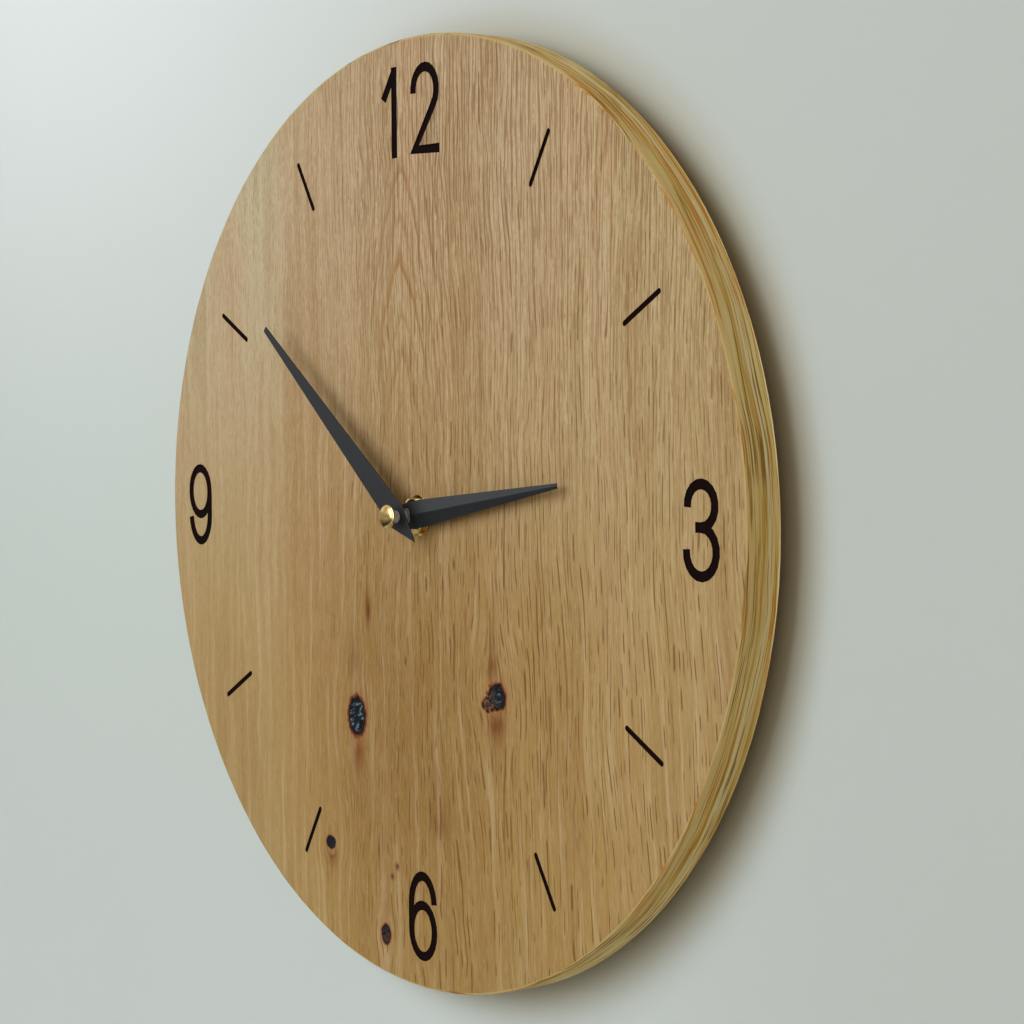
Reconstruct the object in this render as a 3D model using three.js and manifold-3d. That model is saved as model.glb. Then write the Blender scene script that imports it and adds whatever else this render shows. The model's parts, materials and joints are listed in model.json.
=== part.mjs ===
// Round wooden wall clock with a battery quartz movement.
// Units are millimetres. Drawn frame: x to the right, y up, z from the wall towards the viewer.
// The whole clock is turned at the end so that up is +Z and the dial faces -Y.
import * as THREE from 'three';
import Module from 'manifold-3d';
import { mergeVertices } from 'three/addons/utils/BufferGeometryUtils.js';

const wasm = await Module();
wasm.setup();

// Overall sizes
const DIAL_RADIUS = 150;
const PANEL_THICK = 13;
const WALL_GAP = 7.5;
const PANEL_BACK = WALL_GAP;
const PANEL_FRONT = PANEL_BACK + PANEL_THICK;
const PANEL_EDGE_ROUND = 1.1;

// Clearances and the common overrun of every cutter
const CUT_OVER = 0.5;
const SNUG = 0.05;
const RUN_FIT = 0.15;
const LOOSE = 0.3;
const EASY_FIT = 0.1;

// Counts of facets
const RIM_STEPS = 128;
const ROUND_STEPS = 20;
const SMALL_STEPS = 10;
const CORNER_STEPS = 4;
const EDGE_STEPS = 2;
const ARBOR_STEPS = 15;

// Dial marks, burnt a little into the face
const MARK_DEPTH = 0.35;
const TICK_OUTER = 133.2;
const TICK_INNER = 114.3;
const TICK_HALF = 0.85;
const NUMERAL_HEIGHT = 28.6;
const NUMERAL_STROKE = 3;
const NUMERAL_SIDE_RADIUS = 131.5;
const NUMERAL_TOP_RADIUS = 127;
const DIGIT_WIDTH = 15.2;
const ONE_WIDTH = 8.8;
const TWELVE_GAP = 7.2;
const MARK_END_STEPS = 5;
const ARC_STEPS = 14;
const BOWL_STEPS = 24;
const HOURS = 12;
const HOURS_PER_NUMERAL = 3;

// Forms of the numerals as shares of their height, half width or stroke, and of a half turn
const HOOK_HEIGHT_SHARE = 0.25;
const BOWL_HEIGHT_SHARE = 0.285;
const FLAG_DROP_SHARE = 0.3;
const HOOK_START_SHARE = 1.03;
const TWO_END_SHARE = 0.235;
const THREE_UPPER_SHARE = 0.47;
const THREE_UPPER_WIDTH_SHARE = 0.92;
const THREE_WAIST_SHARE = 0.4;
const THREE_TURN_SHARE = 0.5;
const SIX_HOOK_SHARE = 1.3;
const SIX_START_SHARE = 0.03;
const MITRE_SHARE = 1.35;

// Movement case
const CASE_HALF = 28;
const CASE_TOP = 28;
const CASE_BOTTOM = -29.5;
const CASE_DEPTH = 16;
const CASE_WALL = 1.5;
const CASE_CORNER = 2;
const INNER_HALF = CASE_HALF - CASE_WALL;
const FRONT_WALL_BACK = CASE_DEPTH - CASE_WALL;
const DIVIDER_TOP = -11.4;
const DIVIDER_THICK = 1.2;
const BUSH_RADIUS = 3.9;
const BUSH_BORE = 2.65;
const BUSH_END = 23.7;
const POST_RADIUS = 2;
const POST_X = 23;
const POST_LOW_Y = -8;
const POST_HIGH_Y = 24.4;
const POCKET_MARGIN = 2;
const POCKET_CORNER = 4;
const RUBBER_THICK = 1;
const RUBBER_RADIUS = 11;

// Hanging tab on top of the case
const TAB_HALF = 10;
const TAB_HEIGHT = 9;
const TAB_THICK = 2;
const TAB_HOLE_HALF = 4;
const TAB_HOLE_LOW = 1.8;
const TAB_HOLE_HEIGHT = 5;
const TAB_CORNER = 3;
const TAB_HOLE_CORNER = 1.5;

// Fixing hardware on the face
const WASHER_RADIUS = 6.6;
const WASHER_THICK = 0.6;
const NUT_FLATS = 11;
const NUT_THICK = 2;
const NUT_CHAMFER = 0.5;
const NUT_CHAMFER_DROP = 0.75;

// Rear cover and the plate that carries the train
const COVER_THICK = 1.5;
const BOSS_TOP = 1.95;
const PIVOT_DEPTH = 0.85;
const KNOB_CUP_FLOOR = 3;
const KNOB_CUP_BACK = 4;
const KNOB_CUP_RADIUS = 6.2;
const KNOB_CUP_WALL = 0.8;
const PLATE_BACK = 7.6;
const PLATE_THICK = 1.2;
const PLATE_FRONT = PLATE_BACK + PLATE_THICK;
const PLATE_HALF = 25.9;
const PLATE_TOP = 26.3;
const PLATE_LOW = -11.2;
const ARBOR = 0.35;
const ARBOR_HUB = 0.7;
const BEARING_BOSS = 1.05;
const COVER_TAB_LENGTH = 4;
const PIVOT_HOLE = 0.45;

// Tooth counts and modules of the going train and the motion work
const CENTRE_TEETH = 48;
const THIRD_PINION_TEETH = 6;
const THIRD_TEETH = 45;
const SECONDS_PINION_TEETH = 6;
const SECONDS_TEETH = 50;
const FIFTH_PINION_TEETH = 10;
const FIFTH_TEETH = 36;
const ROTOR_PINION_TEETH = 6;
const CANNON_TEETH = 10;
const WORK_TEETH = 30;
const WORK_PINION_TEETH = 8;
const HOUR_TEETH = 32;
const SETTING_TEETH = 10;
const CENTRE_MODULE = 0.34;
const THIRD_MODULE = CENTRE_MODULE * (CENTRE_TEETH + THIRD_PINION_TEETH)
  / (THIRD_TEETH + SECONDS_PINION_TEETH);
const SECONDS_MODULE = 0.315;
const FIFTH_MODULE = 0.343;
const CANNON_MODULE = 0.42;
const HOUR_MODULE = CANNON_MODULE * (CANNON_TEETH + WORK_TEETH) / (HOUR_TEETH + WORK_PINION_TEETH);

// Directions of the arbors, seen from the front
const THIRD_DIRECTION = THREE.MathUtils.degToRad(150);
const FIFTH_DIRECTION = THREE.MathUtils.degToRad(20);
const ROTOR_DIRECTION = THREE.MathUtils.degToRad(45);
const WORK_DIRECTION = THREE.MathUtils.degToRad(90);

// Levels of the wheels, as distances from the wall
const SECONDS_WHEEL_Z = [2.3, 2.9];
const SECONDS_PINION_Z = [4, 5.4];
const THIRD_WHEEL_Z = [4.4, 5];
const THIRD_PINION_Z = [5.9, 7.2];
const CENTRE_WHEEL_Z = [6.3, 7];
const FIFTH_PINION_Z = [2.15, 3.4];
const FIFTH_WHEEL_Z = [5.3, 5.9];
const ROTOR_PINION_Z = [5, 6.1];
const CANNON_PINION_Z = [9.05, 10.3];
const WORK_WHEEL_Z = [9.25, 9.95];
const WORK_PINION_Z = [9.95, 11.9];
const HOUR_WHEEL_Z = [10.7, 11.4];
const SETTING_PINION_Z = [9.05, 10.3];

// Arbors, tubes and the knob
const MINUTE_TUBE = 1.6;
const MINUTE_BORE = 0.55;
const MINUTE_START = 5.8;
const MINUTE_BORE_END = 13;
const MINUTE_FLANGE = 2.1;
const CENTRE_SEAT = 1.3;
const HOUR_TUBE = 2.5;
const HOUR_TUBE_BORE = 1.75;
const HOUR_TUBE_FOOT = 3.4;
const HOUR_TUBE_END = 26;
const HOUR_TUBE_START = 10.45;
const WORK_ARBOR = 0.5;
const WORK_HUB = 1;
const FRONT_BOSS_RADIUS = 1.5;
const FRONT_BOSS_DEPTH = 2;
const KNOB_RADIUS = 5.5;
const KNOB_BACK = 0.4;
const KNOB_FRONT = 2.8;
const KNOB_RIBS = 18;
const KNOB_RIB_DEPTH = 0.4;
const KNOB_RIB_END_SHARE = 0.5;
const KNOB_GROOVE_SHARE = 0.75;
const STEM_RADIUS = 0.9;
const STEM_END = 14.9;

// Motor
const MAGNET_RADIUS = 2.6;
const MAGNET_Z = [6.5, 7.4];
const ROTOR_HUB = 0.9;
const STATOR_HOLE = 3.3;
const STATOR_THICK = 1;
const CORE_THICK = 1;
const STATOR_LEFT = 9.57;
const STATOR_RIGHT = 18.37;
const STATOR_END_X = 24.3;
const STATOR_TOP = 22.2;
const STATOR_LOW = -5.5;
const STATOR_ARM = 3.7;
const STATOR_CHAMFER = 3;
const COIL_X = 22.3;
const CORE_HALF = 1.5;
const CORE_END_HALF = 2;
const BARREL_RADIUS = 1.9;
const FLANGE_HALF = 2.6;
const FLANGE_THICK = 0.6;
const WINDING_RADIUS = 2.45;
const COIL_LOW = -1.2;
const COIL_HIGH = 18;
const WINDOW_LEFT = 18.9;
const WINDOW_MARGIN = 0.6;
const SCREW_HEAD = 1.5;
const SCREW_HEAD_THICK = 1;
const SCREW_SHANK = 0.7;
const SCREW_SLOT = 0.4;
const MOTOR_SCREW_INSET = 2;

// Electrics
const BOARD_THICK = 1.2;
const BOARD_HALF = 25.9;
const BOARD_LEG_RIGHT = -17.4;
const BOARD_LOW = -10;
const BOARD_STRIP_LOW = 22.8;
const BOARD_TOP = 26.2;
const CRYSTAL_RADIUS = 1;
const CRYSTAL_LENGTH = 6;
const CRYSTAL_X = -21.5;
const CRYSTAL_Y = 12;
const CHIP_RADIUS = 2.6;
const CHIP_HEIGHT = 1.1;
const CHIP_Y = 2;
const CELL_RADIUS = 7.1;
const CELL_X0 = -24.2;
const CELL_X1 = 24.8;
const CELL_Y = -20.3;
const CELL_Z = 7.3;
const CELL_NUB_RADIUS = 2.7;
const CELL_NUB = 1.2;
const CELL_EDGE = 0.5;
const CONTACT_THICK = 0.4;
const CONTACT_WIDTH = 3;
const CONTACT_Z = 5.6;
const CONTACT_LOW = -24;
const CONTACT_PAD_HALF = 4;
const CONTACT_RISE = 6;
const LEAF_REACH = 1.75;

// Hands
const REST_MINUTE_ANGLE = THREE.MathUtils.degToRad(309);
const REST_HOUR_ANGLE = THREE.MathUtils.degToRad(81.5);
const HAND_THICK = 0.5;
const HOUR_HAND_Z = 24.5;
const HOUR_LENGTH = 75;
const HOUR_HALF = 4.4;
const HOUR_WIDEST = 7;
const HOUR_TAIL = 6;
const HOUR_TIP_HALF = 0.8;
const HOUR_RIDGE = 1.1;
// Tail of the hour hand: place along it, half width and ridge
const HOUR_TAIL_SHARES = [
  [1, 0.45, 0.3],
  [0.7, 0.8, 0.5],
  [0.2, 0.94, 0.9],
];
const HOUR_TIP_RIDGE_SHARE = 0.2;
const HOUR_BUSH_RADIUS = 3.5;
const MINUTE_HAND_Z = 28.8;
const MINUTE_LENGTH = 96;
const MINUTE_HALF = 4.5;
const MINUTE_TAIL = 12;
const MINUTE_TIP_HALF = 0.9;
const COLLAR_RADIUS = 1.95;
const COLLAR_THICK = 3.2;
const CAP_RADIUS = 3.8;
const CAP_SKIRT = 0.4;
const CAP_HEIGHT = 1.5;
const CAP_BORE_DEPTH = 1;
const CAP_GROOVE = 0.25;
const DOME_STEPS = 5;
const MINUTE_END = MINUTE_HAND_Z + HAND_THICK + COLLAR_THICK + CAP_BORE_DEPTH - RUN_FIT;

// Tooth form as shares of the pitch and of the module
const TIP_WIDTH_SHARE = 0.2;
const ROOT_WIDTH_SHARE = 0.6;
const PINION_ROOT_WIDTH_SHARE = 0.5;
const ADDENDUM_SHARE = 0.8;
const DEDENDUM_SHARE = 1.15;
const WINDOWS = 3;
const WINDOW_PLACE_SHARE = 0.55;
const WINDOW_SIZE_SHARE = 0.24;

const TAU = Math.PI * 2;

// Geometry helpers

function toManifold(geometry) {
  const bare = geometry.clone();
  bare.deleteAttribute('normal');
  bare.deleteAttribute('uv');
  const merged = mergeVertices(bare);
  const triVerts = new Uint32Array(merged.index.array);
  const vertProperties = new Float32Array(merged.attributes.position.array);
  return new wasm.Manifold(new wasm.Mesh({ numProp: 3, vertProperties, triVerts }));
}

function toGeometry(solid) {
  const mesh = solid.getMesh();
  const geometry = new THREE.BufferGeometry();
  geometry.setAttribute('position', new THREE.BufferAttribute(mesh.vertProperties, 3));
  geometry.setIndex(new THREE.BufferAttribute(mesh.triVerts, 1));
  return geometry;
}

function joined(geometries) {
  let solid = toManifold(geometries[0]);
  for (const geometry of geometries.slice(1)) {
    solid = solid.add(toManifold(geometry));
  }
  return toGeometry(solid);
}

function cut(geometry, cutters) {
  let solid = toManifold(geometry);
  for (const cutter of cutters) {
    solid = solid.subtract(toManifold(cutter));
  }
  return toGeometry(solid);
}

function slab(shape, z0, z1, curveSegments = SMALL_STEPS) {
  const geometry = new THREE.ExtrudeGeometry(shape, {
    depth: z1 - z0,
    bevelEnabled: false,
    curveSegments,
  });
  geometry.translate(0, 0, z0);
  return geometry;
}

function polygon(points) {
  return new THREE.Shape(points.map(([x, y]) => new THREE.Vector2(x, y)));
}

function ringPoints(x, y, radius, steps, start = 0) {
  return Array.from({ length: steps }, (_, i) => {
    const angle = start + (TAU * i) / steps;
    return [x + radius * Math.cos(angle), y + radius * Math.sin(angle)];
  });
}

function rod(x, y, radius, z0, z1, steps = ROUND_STEPS) {
  return slab(polygon(ringPoints(x, y, radius, steps)), z0, z1);
}

function tube(x, y, radius, bore, z0, z1, steps = ROUND_STEPS) {
  const shape = polygon(ringPoints(x, y, radius, steps));
  shape.holes.push(new THREE.Path(polygon(ringPoints(x, y, bore, steps)).getPoints()));
  return slab(shape, z0, z1);
}

function box(x0, x1, y0, y1, z0, z1) {
  return slab(polygon([[x0, y0], [x1, y0], [x1, y1], [x0, y1]]), z0, z1);
}

function roundedBox(x0, x1, y0, y1, z0, z1, radius) {
  const shape = new THREE.Shape();
  shape.moveTo(x0 + radius, y0);
  shape.lineTo(x1 - radius, y0);
  shape.absarc(x1 - radius, y0 + radius, radius, -Math.PI / 2, 0);
  shape.lineTo(x1, y1 - radius);
  shape.absarc(x1 - radius, y1 - radius, radius, 0, Math.PI / 2);
  shape.lineTo(x0 + radius, y1);
  shape.absarc(x0 + radius, y1 - radius, radius, Math.PI / 2, Math.PI);
  shape.lineTo(x0, y0 + radius);
  shape.absarc(x0 + radius, y0 + radius, radius, Math.PI, Math.PI * 1.5);
  return slab(shape, z0, z1, CORNER_STEPS);
}

// A turned solid about the line x, y; the profile lists [radius, z] and starts and ends on the axis.
function turned(x, y, profile, steps = ROUND_STEPS) {
  const geometry = new THREE.LatheGeometry(profile.map(([r, z]) => new THREE.Vector2(r, z)), steps);
  geometry.rotateX(Math.PI / 2);
  geometry.scale(1, -1, 1);
  flipTriangles(geometry);
  geometry.translate(x, y, 0);
  return geometry;
}

function flipTriangles(geometry) {
  const index = geometry.index.array;
  for (let i = 0; i < index.length; i += 3) {
    const kept = index[i];
    index[i] = index[i + 1];
    index[i + 1] = kept;
  }
}

// Gears

function pitchRadius(teeth, module) {
  return (teeth * module) / 2;
}

function gearPoints(x, y, teeth, module, phase, rootShare) {
  const pitch = TAU / teeth;
  const tip = pitchRadius(teeth, module) + ADDENDUM_SHARE * module;
  const root = pitchRadius(teeth, module) - DEDENDUM_SHARE * module;
  const points = [];
  for (let i = 0; i < teeth; i += 1) {
    const middle = phase + i * pitch;
    const corners = [
      [root, -rootShare / 2],
      [tip, -TIP_WIDTH_SHARE / 2],
      [tip, TIP_WIDTH_SHARE / 2],
      [root, rootShare / 2],
    ];
    for (const [radius, offset] of corners) {
      const angle = middle + offset * pitch;
      points.push([x + radius * Math.cos(angle), y + radius * Math.sin(angle)]);
    }
  }
  return points;
}

// A toothed wheel or pinion; a wheel with windows gets round lightening holes.
function gear(place, teeth, module, phase, [z0, z1], bore = 0, windowed = false) {
  const rootShare = teeth > CANNON_TEETH ? ROOT_WIDTH_SHARE : PINION_ROOT_WIDTH_SHARE;
  const shape = polygon(gearPoints(place.x, place.y, teeth, module, phase, rootShare));
  const addHole = (x, y, radius) => {
    shape.holes.push(new THREE.Path(polygon(ringPoints(x, y, radius, SMALL_STEPS)).getPoints()));
  };
  if (bore > 0) {
    addHole(place.x, place.y, bore);
  }
  if (windowed) {
    const radius = pitchRadius(teeth, module);
    for (let i = 0; i < WINDOWS; i += 1) {
      const middle = strokePoint(place.x, place.y, phase + (TAU * i) / WINDOWS,
        radius * WINDOW_PLACE_SHARE);
      addHole(...middle, radius * WINDOW_SIZE_SHARE);
    }
  }
  return slab(shape, z0, z1);
}

function placeFrom(start, direction, distance) {
  return {
    x: start.x + distance * Math.cos(direction),
    y: start.y + distance * Math.sin(direction),
  };
}

// Turns the driven gear so that one of its gaps faces the tooth of the driving gear.
function meshPhase(direction, drivingPhase, drivingTeeth, drivenTeeth) {
  return direction + Math.PI + Math.PI / drivenTeeth
    + ((direction - drivingPhase) * drivingTeeth) / drivenTeeth;
}

function centreDistance(teethA, teethB, module) {
  return pitchRadius(teethA + teethB, module);
}

const HUB = { x: 0, y: 0 };
const THIRD = placeFrom(HUB, THIRD_DIRECTION,
  centreDistance(CENTRE_TEETH, THIRD_PINION_TEETH, CENTRE_MODULE));
const FIFTH = placeFrom(HUB, FIFTH_DIRECTION,
  centreDistance(SECONDS_TEETH, FIFTH_PINION_TEETH, SECONDS_MODULE));
const ROTOR = placeFrom(FIFTH, ROTOR_DIRECTION,
  centreDistance(FIFTH_TEETH, ROTOR_PINION_TEETH, FIFTH_MODULE));
const WORK = placeFrom(HUB, WORK_DIRECTION,
  centreDistance(CANNON_TEETH, WORK_TEETH, CANNON_MODULE));
const KNOB = placeFrom(WORK, WORK_DIRECTION,
  centreDistance(WORK_TEETH, SETTING_TEETH, CANNON_MODULE));

const THIRD_PHASE = meshPhase(THIRD_DIRECTION, 0, CENTRE_TEETH, THIRD_PINION_TEETH);
const SECONDS_PHASE = meshPhase(THIRD_DIRECTION + Math.PI, THIRD_PHASE, THIRD_TEETH,
  SECONDS_PINION_TEETH);
const FIFTH_PHASE = meshPhase(FIFTH_DIRECTION, SECONDS_PHASE, SECONDS_TEETH, FIFTH_PINION_TEETH);
const ROTOR_PHASE = meshPhase(ROTOR_DIRECTION, FIFTH_PHASE, FIFTH_TEETH, ROTOR_PINION_TEETH);
const WORK_PHASE = meshPhase(WORK_DIRECTION, 0, CANNON_TEETH, WORK_TEETH);
const HOUR_PHASE = meshPhase(WORK_DIRECTION + Math.PI, WORK_PHASE, WORK_PINION_TEETH, HOUR_TEETH);
const SETTING_PHASE = meshPhase(WORK_DIRECTION, WORK_PHASE, WORK_TEETH, SETTING_TEETH);

// Wooden panel

function quarterRound(centreR, centreZ, radius, startAngle, steps) {
  return Array.from({ length: steps + 1 }, (_, i) => {
    const angle = startAngle + (Math.PI / 2) * (i / steps);
    return [centreR + radius * Math.cos(angle), centreZ + radius * Math.sin(angle)];
  });
}

function panelBlank() {
  const r = DIAL_RADIUS - PANEL_EDGE_ROUND;
  return turned(0, 0, [
    [0, PANEL_BACK],
    ...quarterRound(r, PANEL_BACK + PANEL_EDGE_ROUND, PANEL_EDGE_ROUND, -Math.PI / 2, EDGE_STEPS),
    ...quarterRound(r, PANEL_FRONT - PANEL_EDGE_ROUND, PANEL_EDGE_ROUND, 0, EDGE_STEPS),
    [0, PANEL_FRONT],
  ], RIM_STEPS);
}

function strokePoint(x, y, angle, radius) {
  return [x + radius * Math.cos(angle), y + radius * Math.sin(angle)];
}

// A groove of even width along a line of points, with square or round ends. Sharp corners are cut short.
function strokeShape(line, half, endSteps = 1) {
  const angles = line.slice(1).map(([x, y], i) => Math.atan2(y - line[i][1], x - line[i][0]));
  const left = [];
  const right = [];
  const last = line.length - 1;
  for (let i = 1; i < last; i += 1) {
    const turn = wrap(angles[i] - angles[i - 1]);
    const middle = angles[i - 1] + turn / 2;
    const inner = half / Math.cos(turn / 2);
    const outer = Math.min(inner, half * MITRE_SHARE);
    left.push(strokePoint(...line[i], middle + Math.PI / 2, turn > 0 ? inner : outer));
    right.unshift(strokePoint(...line[i], middle - Math.PI / 2, turn > 0 ? outer : inner));
  }
  const endCap = (point, angle) => Array.from({ length: endSteps + 1 }, (_, i) =>
    strokePoint(...point, angle + Math.PI / 2 - (Math.PI * i) / endSteps, half));
  const start = endCap(line[0], angles[0] + Math.PI);
  const end = endCap(line[last], angles[last - 1]);
  return polygon([...start, ...left, ...end, ...right].reverse());
}

function wrap(angle) {
  return Math.atan2(Math.sin(angle), Math.cos(angle));
}

function arcLine(x, y, rx, ry, from, to, steps = ARC_STEPS) {
  return Array.from({ length: steps + 1 }, (_, i) => {
    const angle = from + ((to - from) * i) / steps;
    return [x + rx * Math.cos(angle), y + ry * Math.sin(angle)];
  });
}

// Centre lines of the plain upright digits, about the middle of the digit.
const DIGIT_TOP = (NUMERAL_HEIGHT - NUMERAL_STROKE) / 2;
const DIGIT_HALF = (DIGIT_WIDTH - NUMERAL_STROKE) / 2;
const HOOK_HEIGHT = NUMERAL_HEIGHT * HOOK_HEIGHT_SHARE;
const BOWL_HEIGHT = NUMERAL_HEIGHT * BOWL_HEIGHT_SHARE;
const FLAG_DROP = NUMERAL_HEIGHT * FLAG_DROP_SHARE;

function oneLines() {
  const flag = ONE_WIDTH - NUMERAL_STROKE;
  const foot = -NUMERAL_HEIGHT / 2;
  return [
    [[0, foot], [0, -foot]],
    [[-flag, DIGIT_TOP - FLAG_DROP], [0, DIGIT_TOP]],
  ];
}

function twoLines() {
  return [[
    ...arcLine(0, DIGIT_TOP - HOOK_HEIGHT, DIGIT_HALF, HOOK_HEIGHT, Math.PI * HOOK_START_SHARE,
      -Math.PI * TWO_END_SHARE),
    [-DIGIT_HALF, -DIGIT_TOP],
    [DIGIT_HALF + NUMERAL_STROKE / 2, -DIGIT_TOP],
  ]];
}

function threeLines() {
  const upper = DIGIT_TOP * THREE_UPPER_SHARE;
  const lower = DIGIT_TOP - upper;
  const waist = [-DIGIT_HALF * THREE_WAIST_SHARE, DIGIT_TOP - upper * 2];
  return [
    [
      ...arcLine(0, DIGIT_TOP - upper, DIGIT_HALF * THREE_UPPER_WIDTH_SHARE, upper,
        Math.PI * HOOK_START_SHARE, -Math.PI * THREE_TURN_SHARE),
      waist,
    ],
    [
      waist,
      ...arcLine(0, lower - DIGIT_TOP, DIGIT_HALF, lower, Math.PI * THREE_TURN_SHARE,
        -Math.PI * HOOK_START_SHARE),
    ],
  ];
}

// The open hook and back of the six; its bowl is a ring of its own.
function sixLines() {
  const hook = HOOK_HEIGHT * SIX_HOOK_SHARE;
  return [[
    ...arcLine(0, DIGIT_TOP - hook, DIGIT_HALF, hook, Math.PI * SIX_START_SHARE, Math.PI),
    [-DIGIT_HALF, BOWL_HEIGHT - DIGIT_TOP],
  ]];
}

function nineLines() {
  return sixLines().map((line) => line.map(([x, y]) => [-x, -y]));
}

function bowlCutter(x, y) {
  const half = NUMERAL_STROKE / 2;
  const ellipse = (reach) => arcLine(x, y, DIGIT_HALF + reach, BOWL_HEIGHT + reach, 0, TAU,
    BOWL_STEPS).slice(0, BOWL_STEPS);
  const shape = polygon(ellipse(half));
  shape.holes.push(new THREE.Path(polygon(ellipse(-half)).getPoints()));
  return slab(shape, PANEL_FRONT - MARK_DEPTH, PANEL_FRONT + CUT_OVER);
}

function numeralCutters() {
  const half = NUMERAL_STROKE / 2;
  const numerals = [
    [oneLines(), -(TWELVE_GAP + DIGIT_WIDTH) / 2, NUMERAL_TOP_RADIUS],
    [twoLines(), (TWELVE_GAP + NUMERAL_STROKE) / 2, NUMERAL_TOP_RADIUS],
    [threeLines(), NUMERAL_SIDE_RADIUS, 0],
    [sixLines(), 0, -NUMERAL_TOP_RADIUS],
    [nineLines(), -NUMERAL_SIDE_RADIUS, 0],
  ];
  const bowlDrop = DIGIT_TOP - BOWL_HEIGHT;
  const cutters = [
    bowlCutter(0, -NUMERAL_TOP_RADIUS - bowlDrop),
    bowlCutter(-NUMERAL_SIDE_RADIUS, bowlDrop),
  ];
  for (const [lines, x, y] of numerals) {
    for (const line of lines) {
      const moved = line.map(([lx, ly]) => [lx + x, ly + y]);
      cutters.push(slab(strokeShape(moved, half), PANEL_FRONT - MARK_DEPTH, PANEL_FRONT + CUT_OVER));
    }
  }
  return cutters;
}

function tickCutters() {
  const cutters = [];
  for (let hour = 1; hour < HOURS; hour += 1) {
    if (hour % HOURS_PER_NUMERAL === 0) {
      continue;
    }
    const angle = Math.PI / 2 - (hour * TAU) / HOURS;
    const line = [TICK_INNER + TICK_HALF, TICK_OUTER - TICK_HALF]
      .map((radius) => strokePoint(0, 0, angle, radius));
    cutters.push(slab(strokeShape(line, TICK_HALF, MARK_END_STEPS), PANEL_FRONT - MARK_DEPTH,
      PANEL_FRONT + CUT_OVER));
  }
  return cutters;
}

function pocketCutter() {
  const side = CASE_HALF + POCKET_MARGIN;
  return roundedBox(-side, side, CASE_BOTTOM - POCKET_MARGIN, CASE_TOP + POCKET_MARGIN,
    PANEL_BACK - CUT_OVER, CASE_DEPTH + RUBBER_THICK, POCKET_CORNER);
}

function oakPanel() {
  return cut(panelBlank(), [
    pocketCutter(),
    rod(0, 0, BUSH_RADIUS + LOOSE, PANEL_BACK, PANEL_FRONT + CUT_OVER),
    ...tickCutters(),
    ...numeralCutters(),
  ]);
}

// Movement case

function hangingTab() {
  const top = CASE_TOP + TAB_HEIGHT;
  const plate = roundedBox(-TAB_HALF, TAB_HALF, CASE_TOP - CASE_WALL, top, 0, TAB_THICK, TAB_CORNER);
  return cut(plate, [
    roundedBox(-TAB_HOLE_HALF, TAB_HOLE_HALF, CASE_TOP + TAB_HOLE_LOW,
      CASE_TOP + TAB_HOLE_LOW + TAB_HOLE_HEIGHT, -CUT_OVER, TAB_THICK + CUT_OVER,
      TAB_HOLE_CORNER),
    box(-TAB_HALF - CUT_OVER, TAB_HALF + CUT_OVER, CASE_TOP - CASE_WALL - CUT_OVER,
      CASE_TOP - CASE_WALL / 2, -CUT_OVER, TAB_THICK + CUT_OVER),
  ]);
}

function postPlaces() {
  return [
    [-POST_X, POST_LOW_Y],
    [POST_X, POST_LOW_Y],
    [-POST_X, POST_HIGH_Y],
    [POST_X, POST_HIGH_Y],
  ];
}

function movementCase() {
  const shell = cut(
    roundedBox(-CASE_HALF, CASE_HALF, CASE_BOTTOM, CASE_TOP, 0, CASE_DEPTH, CASE_CORNER),
    [
      box(-INNER_HALF, INNER_HALF, DIVIDER_TOP, CASE_TOP - CASE_WALL, -CUT_OVER, FRONT_WALL_BACK),
      box(-INNER_HALF, INNER_HALF, CASE_BOTTOM + CASE_WALL, DIVIDER_TOP - DIVIDER_THICK, -CUT_OVER,
        FRONT_WALL_BACK),
      box(-INNER_HALF, -INNER_HALF + CONTACT_THICK + LOOSE, DIVIDER_TOP - DIVIDER_THICK - CUT_OVER,
        DIVIDER_TOP + CUT_OVER, -CUT_OVER, CONTACT_Z + CONTACT_WIDTH + RUN_FIT),
      box(INNER_HALF - CONTACT_THICK - LOOSE, INNER_HALF, DIVIDER_TOP - DIVIDER_THICK - CUT_OVER,
        DIVIDER_TOP + CUT_OVER, -CUT_OVER, CONTACT_Z + CONTACT_WIDTH + RUN_FIT),
    ],
  );
  const bosses = [WORK, KNOB].map((place) => rod(place.x, place.y, FRONT_BOSS_RADIUS,
    FRONT_WALL_BACK - FRONT_BOSS_DEPTH, FRONT_WALL_BACK + CASE_WALL / 2, SMALL_STEPS));
  const posts = postPlaces().map(([x, y]) => rod(x, y, POST_RADIUS, PLATE_FRONT,
    FRONT_WALL_BACK + CASE_WALL / 2, SMALL_STEPS));
  const body = joined([
    shell,
    hangingTab(),
    rod(0, 0, BUSH_RADIUS, CASE_DEPTH - CASE_WALL / 2, BUSH_END),
    ...bosses,
    ...posts,
  ]);
  const pivotTop = FRONT_WALL_BACK + PIVOT_DEPTH;
  return cut(body, [
    rod(0, 0, BUSH_BORE, FRONT_WALL_BACK - CUT_OVER, BUSH_END + CUT_OVER),
    rod(WORK.x, WORK.y, WORK_ARBOR + SNUG, PLATE_FRONT, pivotTop, SMALL_STEPS),
    rod(KNOB.x, KNOB.y, STEM_RADIUS + SNUG, PLATE_FRONT, pivotTop, SMALL_STEPS),
    ...postPlaces().map(([x, y]) => rod(x, y, SCREW_SHANK + SNUG, PLATE_FRONT - CUT_OVER,
      FRONT_WALL_BACK, SMALL_STEPS)),
  ]);
}

// Rear cover

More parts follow.
